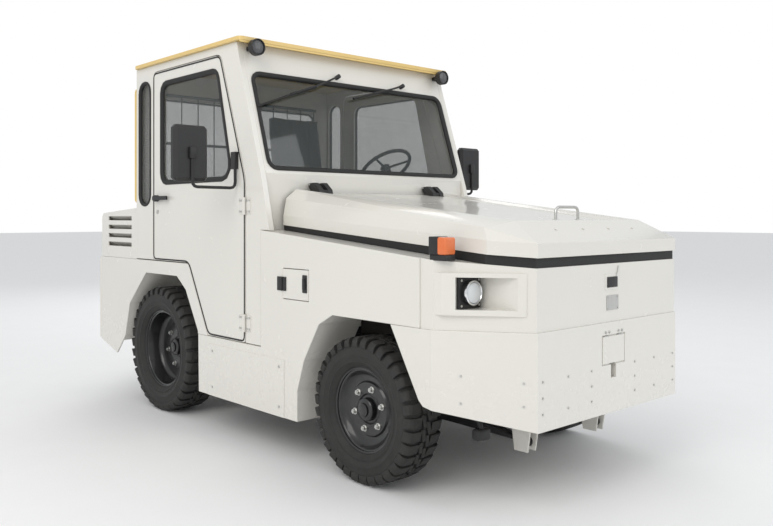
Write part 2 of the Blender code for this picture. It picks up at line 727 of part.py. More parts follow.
def make_door_handle(side, label):
    """Lever handle on a round boss at the rear edge of the door."""
    outer = SIDE + GAP
    boss = disc(f"door_handle_{label}", 0.022, 0, 0.030,
                (side * outer, fy(2.905), 1.435), "x", PLASTIC, 16)
    if side < 0:
        boss.data.transform(Matrix.Translation((-0.030, 0, 0)))
    lever = box(f"lever_{label}", side_limits(side, outer + 0.018, outer + 0.030),
                (fy(2.740), fy(2.930)), (1.423, 1.449))
    return join(boss, lever)


def make_mirror(side, label):
    """Mirror housing on a bent tube from a foot on the door frame."""
    foot_x = SIDE + GAP
    foot = box(f"mirror_{label}", side_limits(side, foot_x, foot_x + 0.024),
               (fy(1.920), fy(1.966)), (1.590, 1.690), PLASTIC)
    arm_x = foot_x + 0.016
    arm_d = 1.930
    route = [(side * arm_x, fy(arm_d), 1.640), (side * arm_x, fy(arm_d), 1.480),
             (side * MIRROR_X, fy(arm_d - 0.030), 1.480), (side * MIRROR_X, fy(arm_d - 0.030), 1.640)]
    arm = tube(f"arm_{label}", bent(route, 0.035), 0.009, PLASTIC)
    housing = box(f"housing_{label}",
                  side_limits(side, MIRROR_X - MIRROR_WIDTH / 2, MIRROR_X + MIRROR_WIDTH / 2),
                  (fy(arm_d - 0.024), fy(arm_d - 0.024 + MIRROR_DEPTH)),
                  (MIRROR_Z - MIRROR_HEIGHT / 2, MIRROR_Z + MIRROR_HEIGHT / 2), bevel=0.018)
    return join(foot, arm, baked(housing))


def front_strip(back_set, low, high):
    """Side view of a slab parallel to the cab front between two depths behind it."""
    knee = PILLAR_KNEE_Z + (COWL_D + 0.002 - PILLAR_KNEE_D) * (
        (PILLAR_TOP_Z - PILLAR_KNEE_Z) / (PILLAR_TOP_D - PILLAR_KNEE_D))
    near, far = back_set
    heights = [low] + ([knee] if low < knee else []) + [PILLAR_TOP_Z, high]
    heights = [z for z in heights if z <= high]
    front = [(cab_front_depth(z) + near, z) for z in heights]
    rear = [(cab_front_depth(z) + far, z) for z in reversed(heights)]
    return side_view(front + rear)


def windscreen_outline(grow):
    half = 0.786 + grow
    return rounded([(-half, 1.592 - grow), (half, 1.592 - grow), (half, 2.146 + grow),
                    (-half, 2.146 + grow)], 0.050 + grow, 4)


def make_cab_front():
    inside = SIDE - WALL - GAP
    low = CAB_BOTTOM + FLOOR_PLATE + 2 * GAP
    high = ROOF_HEIGHT - ROOF_THICKNESS - GAP
    piece = prism("cab_front", front_strip((0, WALL), low, high), "x", -inside, inside, CREAM)
    cut(piece, prism("windscreen_hole", windscreen_outline(0), "y", fy(1.5), fy(2.3)))
    for side, label in SIDES:
        lug = prism(f"hinge_lug_{label}", side_view([
            (HOOD_HINGE_D - 0.010, HOOD_HINGE_Z - 0.008), (COWL_D + 0.012, HOOD_HINGE_Z - 0.024),
            (COWL_D + 0.012, HOOD_HINGE_Z + 0.020), (HOOD_HINGE_D - 0.010, HOOD_HINGE_Z + 0.008)]),
            "x", *side_limits(side, HOOD_CHEEKS[0][1] + GAP, HOOD_CHEEKS[1][0] - GAP))
        join(piece, lug)
    return piece


def make_windscreen():
    glass = prism("windscreen", front_strip((0.010, 0.010 + GLASS), 1.57, 2.17), "x",
                  -0.9, 0.9, GLASS_TINT)
    trim = prism("windscreen_edge", windscreen_outline(-GAP), "y", fy(1.5), fy(2.3))
    return boolean(glass, trim, "INTERSECT")


def rear_window_outline(grow):
    half = REAR_WINDOW_HALF + grow
    return rounded([(-half, 1.520 - grow), (half, 1.520 - grow), (half, 2.150 + grow),
                    (-half, 2.150 + grow)], 0.060 + grow, 4)


def make_cab_rear():
    inside = SIDE - WALL - GAP
    piece = box("cab_rear", (-inside, inside), (fy(CAB_REAR_D - WALL), fy(CAB_REAR_D)),
                (PLATFORM_Z + FLOOR_PLATE + 2 * GAP, ROOF_HEIGHT - ROOF_THICKNESS - GAP), CREAM)
    return cut(piece, prism("rear_window_hole", rear_window_outline(0), "y", fy(3.0), fy(3.4)))


def make_rear_glass():
    middle = CAB_REAR_D - WALL / 2
    return prism("rear_window", rear_window_outline(-GAP), "y",
                 fy(middle - GLASS / 2), fy(middle + GLASS / 2), GLASS_TINT)


def make_cab_floor():
    """Floor plate: low in front of the seat, sloping up to the platform over the axle."""
    inside = SIDE - WALL - GAP
    bottom = [(COWL_D + 0.002, CAB_BOTTOM + GAP), (DOOR_BOTTOM_REAR_D, CAB_BOTTOM + GAP),
              (DOOR_STEP_D, PLATFORM_Z + GAP), (CAB_REAR_D, PLATFORM_Z + GAP)]
    top = [(CAB_REAR_D, PLATFORM_Z + FLOOR_PLATE + GAP),
           (DOOR_STEP_D - 0.022, PLATFORM_Z + FLOOR_PLATE + GAP),
           (DOOR_BOTTOM_REAR_D - 0.022, CAB_BOTTOM + FLOOR_PLATE + GAP),
           (COWL_D + 0.002, CAB_BOTTOM + FLOOR_PLATE + GAP)]
    return prism("cab_floor", side_view(bottom + top), "x", -inside, inside, CHASSIS)


def make_roof():
    front, rear = 1.876, 3.213
    half = ROOF_WIDTH / 2
    plan = rounded([(-half, fy(front)), (half, fy(front)), (half, fy(rear)), (-half, fy(rear))],
                   0.030, 3)
    return prism("roof_plate", plan, "z", ROOF_HEIGHT - ROOF_THICKNESS, ROOF_HEIGHT, CREAM)


def make_roof_lamp(side, label):
    """Round work lamp on a short bracket in front of the roof corner."""
    x, d, z = side * 0.785, 1.862, 2.296
    lamp = turned(f"roof_lamp_{label}", ((0, 0.030), (0.026, 0.030), (0.047, 0.002),
                  (0.047, -0.020), (0.042, -0.030), (0, -0.030)),
                  (x, fy(d), z), "y", PLASTIC, 20)
    foot_low = z - 0.012
    foot = box(f"lamp_foot_{label}", (x - 0.016, x + 0.016),
               (fy(d), fy(cab_front_depth(foot_low) - GAP)), (foot_low, z + 0.012))
    return join(lamp, foot)


# ---------------------------------------------------------------- cab inside
def make_dashboard():
    inside = SIDE - WALL - 0.010
    desk = prism("dashboard", side_view([
        (COWL_D + WALL + 0.0023, 1.180), (COWL_D + WALL + 0.0023, 1.540),
        (1.800, 1.548), (1.950, 1.500), (1.965, 1.440), (1.860, 1.180)]),
        "x", -inside, inside, PLASTIC)
    high = steering_centre() - steering_axis() * (0.020 + 2 * GAP)
    low = high - steering_axis() * 0.320
    column = tube("column", [low, high], 0.028, PLASTIC, 3)
    return join(desk, column)


def steering_centre():
    return Vector((STEER_X, fy(STEER_D), STEER_Z))


def steering_axis():
    return Vector((0, math.sin(STEER_TILT), math.cos(STEER_TILT)))


def make_steering_wheel():
    bpy.ops.mesh.primitive_torus_add(major_radius=STEER_RADIUS - 0.013, minor_radius=0.013,
                                     major_segments=24, minor_segments=6)
    ring = bpy.context.object
    ring.name = "steering_wheel"
    for collection in list(ring.users_collection):
        collection.objects.unlink(ring)
    PARTS.objects.link(ring)
    ring.data.materials.append(PLASTIC)
    hub = disc("steering_hub", 0.035, -0.020, 0.020, (0, 0, 0), "z", steps=16)
    join(ring, hub)
    for number in range(3):
        turn = math.radians(90 + 120 * number)
        end = (math.cos(turn) * (STEER_RADIUS - 0.013), math.sin(turn) * (STEER_RADIUS - 0.013), 0)
        join(ring, tube(f"spoke_{number}", [(0, 0, 0), end], 0.009, PLASTIC))
    wheel = baked(ring)
    wheel.name = "steering_wheel"
    turn = Matrix.Rotation(-STEER_TILT, 4, "X")
    wheel.data.transform(Matrix.Translation(steering_centre()) @ turn)
    return wheel


def make_driver_seat():
    x = STEER_X
    platform = PLATFORM_Z + FLOOR_PLATE + 2 * GAP
    base = box("seat_base", (x - 0.180, x + 0.180), (fy(2.620), fy(3.020)),
               (platform, 1.240), CHASSIS, 0.015)
    cushion = box("seat_cushion", (x - 0.240, x + 0.240), (fy(2.540), fy(3.020)),
                  (1.2403, 1.360), SEAT, 0.030, 2)
    lean = [(2.960, 1.3603), (3.080, 1.3603), (3.165, 1.960), (3.165, 2.090), (3.080, 2.090),
            (3.055, 1.960)]
    backrest = prism("seat_backrest", side_view(lean), "x", x - 0.220, x + 0.220, SEAT)
    return base, cushion, backrest


# ---------------------------------------------------------------- rear body
def make_rear_fender(side, label):
    """Rear side panel with its arch, arch liner and top plate."""
    front = DOOR_GAP + 0.001
    arch = [(3.532, 0.322), (3.398, 0.464), (3.328, 0.700), (3.081, ARCH_TOP_REAR),
            (2.651, ARCH_TOP_REAR), (2.537, 0.848), (2.384, 0.602)]
    rear = BODY_LENGTH - REAR_PLATE - GAP
    outline = side_view([
        (DOOR_BOTTOM_REAR_D + front, SKIRT_TOP + GAP), (DOOR_STEP_D + front, COVER_BOTTOM - GAP),
        (rear, COVER_BOTTOM - GAP), (rear, REAR_BOTTOM)] + arch + [(2.3835, SKIRT_TOP + GAP)])
    piece = prism(f"rear_fender_{label}", outline, "x", *side_limits(side, SIDE - 0.300, SIDE),
                  CREAM)
    lining = SHEET
    hollow = side_view([
        (2.640, ARCH_TOP_REAR + lining), (2.640, COVER_BOTTOM - GAP - SHEET),
        (rear - SHEET, COVER_BOTTOM - GAP - SHEET), (rear - SHEET, REAR_BOTTOM - 0.100),
        (3.540, 0.250), (3.410, 0.468), (3.340, 0.708), (3.086, ARCH_TOP_REAR + lining)])
    return cut(piece, prism(f"rear_hollow_{label}", hollow, "x",
                            *side_limits(side, SIDE - 0.400, SIDE - SHEET)))


def make_rear_plate():
    return box("rear_plate", (-SIDE, SIDE), (fy(BODY_LENGTH - REAR_PLATE), fy(BODY_LENGTH)),
               (REAR_BOTTOM, COVER_BOTTOM - GAP), CREAM, 0.012)


def make_rear_cover():
    """Louvred cover behind the cab: a sheet box open underneath."""
    front = CAB_REAR_D + GAP
    rows = [(front, COVER_BOTTOM), (front, COVER_TOP_FRONT), (3.765, COVER_TOP_REAR),
            (COVER_REAR_D, COVER_TOP_REAR - 0.030), (COVER_REAR_D, COVER_BOTTOM)]
    piece = prism("rear_cover", side_view(rows), "x", -SIDE, SIDE, CREAM)
    hollow = side_view([
        (front + SHEET, COVER_BOTTOM - 0.1), (front + SHEET, COVER_TOP_FRONT - SHEET),
        (3.760, COVER_TOP_REAR - SHEET), (COVER_REAR_D - SHEET, COVER_TOP_REAR - 0.035),
        (COVER_REAR_D - SHEET, COVER_BOTTOM - 0.1)])
    cut(piece, prism("cover_hollow", hollow, "x", -SIDE + SHEET, SIDE - SHEET))
    for side, label in SIDES:
        for number in range(LOUVRES):
            z = COVER_BOTTOM + 0.084 + number * LOUVRE_PITCH
            slot = box(f"louvre_{label}_{number}", side_limits(side, SIDE - 0.030, SIDE + 0.010),
                       (fy(CAB_REAR_D + 0.080), fy(COVER_REAR_D - 0.110)), (z, z + LOUVRE_HEIGHT))
            cut(piece, slot)
    return piece


def make_rear_coupling():
    """Cast tow jaw with its pin, on the rear plate."""
    start, end = BODY_LENGTH + GAP, OVERALL_LENGTH
    jaw = prism("rear_coupling", side_view([
        (start, 0.360), (start, 0.680), (start + 0.022, 0.680), (start + 0.022, 0.600),
        (end - 0.010, 0.585), (end, 0.575), (end, 0.548), (start + 0.050, 0.548),
        (start + 0.050, 0.478), (end, 0.478), (end, 0.452), (end - 0.010, 0.440),
        (start + 0.022, 0.425), (start + 0.022, 0.360)]), "x", -0.085, 0.085, IRON)
    pin = disc("pin", 0.016, 0.430, 0.640, (0, fy(end - 0.050), 0), "z", steps=16)
    knob = disc("pin_knob", 0.030, 0.625, 0.645, (0, fy(end - 0.050), 0), "z", steps=16)
    return join(jaw, pin, knob)


# ---------------------------------------------------------------- chassis and running gear
def make_chassis():
    """Two rails and their crossmembers."""
    top = CAB_BOTTOM - GAP
    low = top - RAIL_DEPTH
    front = 0.5115
    rear = BODY_LENGTH - REAR_PLATE - GAP
    half = RAIL_WIDTH / 2
    frame = box("chassis_frame", (RAIL_X - half, RAIL_X + half), (fy(front), fy(rear)),
                (low, top), CHASSIS)
    other = box("left_rail", (-RAIL_X - half, -RAIL_X + half), (fy(front), fy(rear)), (low, top))
    join(frame, other)
    for number, d in enumerate((0.540, 1.600, 2.400, 3.700)):
        member = box(f"crossmember_{number}", (-RAIL_X, RAIL_X), (fy(d), fy(d + 0.060)),
                     (low + 0.010, top - 0.010))
        join(frame, member)
    # outriggers to the side boxes
    for number, d in enumerate((1.720, 2.180)):
        arm = box(f"outrigger_{number}", (-SIDE + SHEET + GAP, SIDE - SHEET - GAP),
                  (fy(d), fy(d + 0.060)), (low + 0.010, SKIRT_TOP - SHEET - GAP))
        join(frame, arm)
    for side, label in SIDES:
        for number, x in enumerate((-1, 1)):
            middle = side * RAIL_X + x * (SPRING_WIDTH / 2 + SIDE_CLEARANCE)
            plate = prism(f"shackle_{label}_{number}", side_view([
                (SPRING_REAR_D - 0.035, SPRING_EYE_Z - 0.035),
                (SPRING_REAR_D + 0.035, SPRING_EYE_Z - 0.035),
                (SPRING_REAR_D + 0.060, low + 0.020), (SPRING_REAR_D - 0.060, low + 0.020)]),
                "x", middle - 0.004, middle + 0.004)
            join(frame, plate)
    return frame


def make_engine():
    return box("engine_block", (-0.280, 0.280), (fy(0.700), fy(1.520)),
               (CAB_BOTTOM, 1.060), IRON, 0.02)


def make_front_axle():
    z = FRONT_TYRE_RADIUS
    beam_half, beam_end, fork = 0.045, 0.535, 0.618
    half = [(0, z - beam_half), (beam_end - 0.04, z - beam_half), (beam_end - 0.01, z - 0.078),
            (fork, z - 0.078), (fork, z - 0.054), (beam_end, z - 0.054), (beam_end, z + 0.054),
            (fork, z + 0.054), (fork, z + 0.078), (beam_end - 0.01, z + 0.078),
            (beam_end - 0.04, z + beam_half), (0, z + beam_half)]
    outline = half[1:-1] + [(-x, height) for x, height in reversed(half[1:-1])]
    return prism("front_axle", outline, "y", fy(FRONT_AXLE_D - 0.040), fy(FRONT_AXLE_D + 0.040),
                 CHASSIS)


def make_rear_axle():
    """Axle tube, differential housing and the pads that carry the rails."""
    centre = (0, fy(REAR_AXLE_D), REAR_TYRE_RADIUS)
    end = REAR_WHEEL_X + REAR_DISC - HUB_DEPTH - 2 * GAP
    half = ((0, end), (0.050, end), (0.070, 0.540), (0.070, 0.150), (0.130, 0.080))
    profile = half + ((0.145, 0.0),) + tuple((r, -a) for r, a in reversed(half))
    axle = turned("rear_axle", profile, centre, "x", CHASSIS, 20)
    low = CAB_BOTTOM - GAP - RAIL_DEPTH - GAP
    for side, label in SIDES:
        pad = box(f"rear_pad_{label}", side_limits(side, RAIL_X - 0.035, RAIL_X + 0.035),
                  (fy(REAR_AXLE_D - 0.060), fy(REAR_AXLE_D + 0.060)),
                  (REAR_TYRE_RADIUS, low))
        join(axle, pad)
    return axle


def make_front_spring(side, label):
    """Leaf pack under the axle beam, with an eye at each end."""
    top = FRONT_TYRE_RADIUS - 0.045 - GAP
    x = side_limits(side, RAIL_X - SPRING_WIDTH / 2, RAIL_X + SPRING_WIDTH / 2)
    middle = FRONT_AXLE_D
    pack = prism(f"front_spring_{label}", side_view([
        (SPRING_EYE_D, SPRING_EYE_Z + 0.006), (SPRING_EYE_D, SPRING_EYE_Z + 0.016),
        (middle - 0.30, top - 0.022), (middle - 0.05, top), (middle + 0.05, top),
        (middle + 0.30, top - 0.022), (SPRING_REAR_D, SPRING_EYE_Z + 0.016),
        (SPRING_REAR_D, SPRING_EYE_Z + 0.006), (middle + 0.12, top - 0.066),
        (middle - 0.12, top - 0.066)]), "x", *x, CHASSIS)
    for number, d in enumerate((SPRING_EYE_D, SPRING_REAR_D)):
        eye = disc(f"eye_{label}_{number}", 0.026, x[0], x[1], (0, fy(d), SPRING_EYE_Z), "x",
                   steps=12)
        # a bolt long enough to reach both hanger plates
        reach = SIDE_CLEARANCE - 0.004 - GAP
        bolt = disc(f"bolt_{label}_{number}", 0.012, x[0] - reach, x[1] + reach,
                    (0, fy(d), SPRING_EYE_Z), "x", steps=8)
        join(pack, eye, bolt)
    return pack


def make_knuckle(side, label):
    """Kingpin boss and stub axle."""
    centre = (side * KINGPIN_X, fy(FRONT_AXLE_D), FRONT_TYRE_RADIUS)
    boss = disc(f"knuckle_{label}", 0.032, -0.0535, 0.0535, centre, "z", CHASSIS, 20)
    hub_face = FRONT_WHEEL_X + FRONT_DISC - HUB_DEPTH - 2 * GAP
    stub = disc(f"stub_{label}", 0.038, *side_limits(side, KINGPIN_X, hub_face),
                (0, fy(FRONT_AXLE_D), FRONT_TYRE_RADIUS), "x", steps=20)
    return join(boss, stub)


def rim_profile(seat, half_width, disc_face):
    """(radius, along) of a rim with its disc and hub, outer face first."""
    inner = seat - 0.014
    lip = seat + 0.026
    return ((0, disc_face + 0.034), (0.052, disc_face + 0.034), (0.058, disc_face),
            (inner, disc_face), (inner, half_width - 0.012), (lip, half_width),
            (lip, half_width - 0.012), (seat, half_width - 0.020), (seat, -half_width + 0.020),
            (lip, -half_width + 0.012), (lip, -half_width), (inner, -half_width + 0.012),
            (inner, disc_face - 0.012), (0.075, disc_face - 0.012),
            (0.065, disc_face - HUB_DEPTH), (0, disc_face - HUB_DEPTH))


def tyre_profile(seat, radius, width, rim_half):
    """Closed (radius, along) loop of a solid-sided industrial tyre."""
    bead = seat + GAP
    half = width / 2
    low = rim_half - 0.021 - GAP
    flank = seat + 0.027 + GAP
    side = ((bead, low), (flank, rim_half - 0.013 - GAP), (flank + 0.020, half - 0.004),
            (radius - 0.034, half), (radius, half - 0.030))
    return side + tuple((r, -a) for r, a in reversed(side))


def ring_solid(name, profile, centre, material, steps):
    bm = bmesh.new()
    corners = [bm.verts.new((r, 0, a)) for r, a in profile]
    for index, corner in enumerate(corners):
        bm.edges.new((corner, corners[(index + 1) % len(corners)]))
    mesh = bpy.data.meshes.new(name)
    bm.to_mesh(mesh)
    bm.free()
    piece = link(name, mesh, material)
    spin = piece.modifiers.new("turn", "SCREW")
    spin.steps = steps
    spin.render_steps = steps
    spin.use_merge_vertices = True
    spin.merge_threshold = 1e-5
    half_step = Matrix.Rotation(math.pi / steps, 4, "X")
    turn = half_step @ Matrix.Rotation(math.pi / 2, 4, "Y")
    piece.matrix_world = Matrix.Translation(centre) @ turn
    piece = baked(piece)
    piece.data.transform(piece.matrix_world)
    piece.matrix_world = Matrix.Identity(4)
    repair_normals(piece)
    return piece


def make_wheels():
    rows = (
        # name, x of the tyre's middle, distance, tyre radius, width, rim seat, rim half, disc
        ("front", FRONT_WHEEL_X, FRONT_AXLE_D, FRONT_TYRE_RADIUS, TYRE_WIDTH, FRONT_RIM_RADIUS,
         0.088, FRONT_DISC),
        ("rear", REAR_WHEEL_X, REAR_AXLE_D, REAR_TYRE_RADIUS, REAR_TYRE_WIDTH, REAR_RIM_RADIUS,
         0.098, REAR_DISC),
    )
    for end, x, d, radius, width, seat, rim_half, disc_face in rows:
        for side, label in SIDES:
            centre = (side * x, fy(d), radius)
            rim = rim_profile(seat, rim_half, disc_face)
            rim = [(r, a * side) for r, a in rim]
            turned(f"{end}_rim_{label}", rim, centre, "x", BLACK, WHEEL_STEPS)
            # the flats between the facets' corners stand on the floor
            loop = tyre_profile(seat, radius / math.cos(math.pi / WHEEL_STEPS), width, rim_half)
            ring_solid(f"{end}_tyre_{label}", loop, centre, RUBBER, WHEEL_STEPS)


def make_headlamp(side, label):
    x = side_limits(side, 0.6540, 0.7950)
    plate = box(f"headlamp_{label}", x, (fy(0.270), fy(0.2867)), (0.912, 1.049), PLASTIC)
    lens = disc(f"lens_{label}", 0.052, -0.012, 0.010, (sum(x) / 2, fy(0.270), 0.9805), "y",
                steps=24)
    return join(plate, lens)


def main():
    make_front_bumper()
    make_nose()
    make_fuel_hatch()
    make_front_flap()
    make_hood()
    make_hood_seal()
    make_cab_front()
    make_windscreen()
    make_cab_rear()
    make_rear_glass()
    make_cab_floor()
    make_roof()
    make_dashboard()
    make_steering_wheel()
    make_driver_seat()
    make_rear_plate()
    make_rear_cover()
    make_rear_coupling()
    make_chassis()
    make_engine()
    make_front_axle()
    make_rear_axle()
    make_wheels()
    for side, label in SIDES:
        make_front_fender(side, label)
        make_cab_side(side, label)
        make_quarter_glass(side, label)
        make_door(side, label)
        make_door_glass(side, label)
        make_door_handle(side, label)
        make_mirror(side, label)
        make_roof_lamp(side, label)
        make_rear_fender(side, label)
        make_front_spring(side, label)
        make_knuckle(side, label)
        make_headlamp(side, label)
        make_hood_hinge(side, label)


main()
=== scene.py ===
"""Looks of the airport baggage tug: paint, rubber, glass and the fine pieces round the frame."""
import json
import math

import bmesh
import bpy
from bpy.props import FloatProperty, FloatVectorProperty, IntProperty, PointerProperty
from mathutils import Matrix, Vector

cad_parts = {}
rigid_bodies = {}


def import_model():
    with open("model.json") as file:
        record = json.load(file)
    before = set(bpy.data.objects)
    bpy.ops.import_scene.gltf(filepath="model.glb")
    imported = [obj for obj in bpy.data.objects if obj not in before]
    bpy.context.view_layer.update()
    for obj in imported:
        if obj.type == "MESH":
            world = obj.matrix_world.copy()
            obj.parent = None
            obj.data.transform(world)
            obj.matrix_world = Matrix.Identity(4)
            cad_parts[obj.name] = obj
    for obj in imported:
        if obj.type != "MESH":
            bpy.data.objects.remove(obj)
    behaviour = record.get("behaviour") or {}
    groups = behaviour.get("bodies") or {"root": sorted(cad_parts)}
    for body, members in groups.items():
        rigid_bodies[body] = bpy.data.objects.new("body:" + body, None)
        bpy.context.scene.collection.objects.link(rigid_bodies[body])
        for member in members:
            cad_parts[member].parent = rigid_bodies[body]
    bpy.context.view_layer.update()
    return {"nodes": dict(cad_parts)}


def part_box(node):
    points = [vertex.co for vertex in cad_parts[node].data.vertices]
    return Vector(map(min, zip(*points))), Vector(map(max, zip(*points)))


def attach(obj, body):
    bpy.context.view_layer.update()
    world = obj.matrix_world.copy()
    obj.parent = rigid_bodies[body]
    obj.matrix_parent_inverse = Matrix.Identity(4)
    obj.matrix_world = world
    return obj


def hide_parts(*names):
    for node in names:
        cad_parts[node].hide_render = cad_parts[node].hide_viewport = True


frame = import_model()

bl_info = {
    "name": "Baggage tug looks",
    "version": (1, 0, 0),
    "blender": (4, 5, 0),
    "location": "View3D > Sidebar > Tug",
    "description": "Builds the surface detail of an airport baggage tug round its frame",
    "category": "Object",
}

NODES = frame["nodes"]

# ---------------------------------------------------------------- places read from the frame
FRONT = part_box("front_bumper")[0].y
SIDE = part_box("front_bumper")[1].x
BUMPER_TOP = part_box("front_bumper")[1].z
CAB_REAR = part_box("cab_rear")[1].y
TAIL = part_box("rear_plate")[1].y
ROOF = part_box("roof_plate")
SIDES = ((-1, "right"), (1, "left"))
SEAT_GAP = 0.0004


def fy(distance):
    """Y of a place this far behind the front plate."""
    return FRONT + distance


def middle(node):
    low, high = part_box(node)
    return (low + high) / 2


# ---------------------------------------------------------------- node writing
class Socket:
    """A node's output, with the arithmetic that shader maths needs."""

    def __init__(self, tree, output):
        self.tree, self.output = tree, output

    def _math(self, operation, *values):
        return self.tree.add(self.tree.math_type, {"operation": operation}, dict(enumerate(values)))

    def __add__(self, other):
        return self._math("ADD", self, other)

    def __radd__(self, other):
        return self._math("ADD", other, self)

    def __sub__(self, other):
        return self._math("SUBTRACT", self, other)

    def __rsub__(self, other):
        return self._math("SUBTRACT", other, self)

    def __mul__(self, other):
        return self._math("MULTIPLY", self, other)

    def __rmul__(self, other):
        return self._math("MULTIPLY", other, self)

    def __gt__(self, other):
        return self._math("GREATER_THAN", self, other)

    def clamped(self):
        return self._math("MINIMUM", self._math("MAXIMUM", self, 0.0), 1.0)


class Tree:
    """Adds nodes to a shader or geometry tree; each call gives the node's first output."""

    math_type = "ShaderNodeMath"

    def __init__(self, tree):
        self.tree = tree

    def add(self, kind, settings=None, values=None, output=0):
        node = self.tree.nodes.new(kind)
        for key, value in (settings or {}).items():
            if key == "stops":
                for element, (place, colour) in zip(node.color_ramp.elements, value):
                    element.position, element.color = place, colour
            else:
                setattr(node, key, value)
        for key, value in (values or {}).items():
            if isinstance(value, Socket):
                self.tree.links.new(value.output, node.inputs[key])
            else:
                node.inputs[key].default_value = value
        return Socket(self, node.outputs[output]) if len(node.outputs) else node


def new_material(name):
    """A material with its tree and its Principled shader."""
    material = bpy.data.materials.new(name)
    material.use_nodes = True
    return material, Tree(material.node_tree), material.node_tree.nodes["Principled BSDF"]


def feed(tree, shader, socket, value):
    if isinstance(value, Socket):
        tree.tree.links.new(value.output, shader.inputs[socket])
    else:
        shader.inputs[socket].default_value = value


def noise(tree, scale, detail=3.0, rough=0.5):
    place = tree.add("ShaderNodeTexCoord", output=3)
    return tree.add("ShaderNodeTexNoise", None,
                    {"Vector": place, "Scale": scale, "Detail": detail, "Roughness": rough})


def blend_colour(tree, factor, first, second):
    node = tree.tree.nodes.new("ShaderNodeMix")
    node.data_type = "RGBA"
    for key, value in ((0, factor), (6, first), (7, second)):
        feed(tree, node, key, value)
    return Socket(tree, node.outputs[2])


def bump(tree, height, strength, distance):
    return tree.add("ShaderNodeBump", None,
                    {"Strength": strength, "Distance": distance, "Height": height})


def shade(colour, factor):
    return tuple(min(1.0, c * factor) for c in colour[:3]) + (1.0,)


# ---------------------------------------------------------------- finishes
def painted(name, colour, rough=0.24, coat=0.5, dust=0.06):
    """Gloss body paint: faint orange peel, slow tint drift, and low down a painted shade that darkens
    it, with more roughness there.
    """
    material, tree, shader = new_material(name)
    place = tree.add("ShaderNodeTexCoord", output=3)
    height = tree.add("ShaderNodeSeparateXYZ", None, {"Vector": place}, output=2)
    drift = noise(tree, 1.6, 2.0)
    patch_noise = noise(tree, 9.0, 5.0, 0.65)
    # Painted shade: below about 0.74 m the paint is mixed towards a darker copy of itself, more the
    # lower it is and broken up by noise; the same mask also makes it rougher.
    low = (1.0 - height * 1.35).clamped()
    low_shade_mask = (low * patch_noise * dust).clamped()
    clean = blend_colour(tree, drift, shade(colour, 0.965), shade(colour, 1.02))
    feed(tree, shader, "Base Color", blend_colour(tree, low_shade_mask, clean, shade(colour, 0.55)))
    feed(tree, shader, "Roughness", (rough + low_shade_mask * 0.8 + patch_noise * 0.05).clamped())
    peel = noise(tree, 260.0, 1.0)
    feed(tree, shader, "Normal", bump(tree, peel, 0.06, 0.0006))
    shader.inputs["Coat Weight"].default_value = coat
    shader.inputs["Coat Roughness"].default_value = 0.08
    return material


def moulded(name, colour, rough, grain=700.0, depth=0.25, dusty=0.0):
    """Grained plastic or rubber with dust in its low places."""
    material, tree, shader = new_material(name)
    fine = noise(tree, grain, 2.0)
    patch = noise(tree, 14.0, 4.0, 0.6)
    dust = (patch * dusty * 1.6).clamped()
    base = blend_colour(tree, patch, shade(colour, 0.8), shade(colour, 1.3))
    feed(tree, shader, "Base Color", blend_colour(tree, dust, base, (0.16, 0.15, 0.135, 1)))
    feed(tree, shader, "Roughness", (rough + patch * 0.12).clamped())
    feed(tree, shader, "Normal", bump(tree, fine, depth, 0.0008))
    return material


def metal(name, colour, rough, streak=120.0):
    material, tree, shader = new_material(name)
    place = tree.add("ShaderNodeTexCoord", output=3)
    drawn = tree.add("ShaderNodeMapping", None, {"Vector": place, "Scale": (1.0, 1.0, 0.12)})
    grain = tree.add("ShaderNodeTexNoise", None, {"Vector": drawn, "Scale": streak, "Detail": 4.0})
    feed(tree, shader, "Base Color",
         blend_colour(tree, grain, shade(colour, 0.85), shade(colour, 1.1)))
    feed(tree, shader, "Roughness", (rough + grain * 0.15).clamped())
    feed(tree, shader, "Normal", bump(tree, grain, 0.08, 0.0005))
    shader.inputs["Metallic"].default_value = 1.0
    return material


def see_through(name, colour, alpha, rough=0.02):
    """Toughened glass with a faint film of dust."""
    material, tree, shader = new_material(name)
    film = noise(tree, 6.0, 4.0, 0.7)
    feed(tree, shader, "Base Color",
         blend_colour(tree, film, shade(colour, 0.9), shade(colour, 1.15)))
    feed(tree, shader, "Alpha", (alpha + film * 0.05).clamped())
    feed(tree, shader, "Roughness", (rough + film * 0.03).clamped())
    shader.inputs["Specular IOR Level"].default_value = 0.9
    shader.inputs["Coat Weight"].default_value = 1.0
    shader.inputs["Coat Roughness"].default_value = 0.02
    return material


def lens(name, colour, rough=0.08, ribs=180.0):
    """Moulded lamp lens with fine flutes."""
    material, tree, shader = new_material(name)
    place = tree.add("ShaderNodeTexCoord", output=3)
    flutes = tree.add("ShaderNodeTexWave", {"bands_direction": "Z"},
                      {"Vector": place, "Scale": ribs, "Distortion": 0.0})
    feed(tree, shader, "Base Color",
         blend_colour(tree, flutes, shade(colour, 0.85), shade(colour, 1.1)))
    feed(tree, shader, "Roughness", (rough + flutes * 0.05).clamped())
    feed(tree, shader, "Normal", bump(tree, flutes, 0.25, 0.001))
    shader.inputs["Coat Weight"].default_value = 0.8
    return material


def grained_vinyl(name, colour):
    material, tree, shader = new_material(name)
    place = tree.add("ShaderNodeTexCoord", output=3)
    cells = tree.add("ShaderNodeTexVoronoi", {"feature": "DISTANCE_TO_EDGE"},
                     {"Vector": place, "Scale": 260.0})
    patch = noise(tree, 20.0, 3.0)
    feed(tree, shader, "Base Color",
         blend_colour(tree, patch, shade(colour, 0.8), shade(colour, 1.4)))
    feed(tree, shader, "Roughness", (0.45 + patch * 0.2).clamped())
    feed(tree, shader, "Normal", bump(tree, cells, 0.3, 0.0008))
    return material


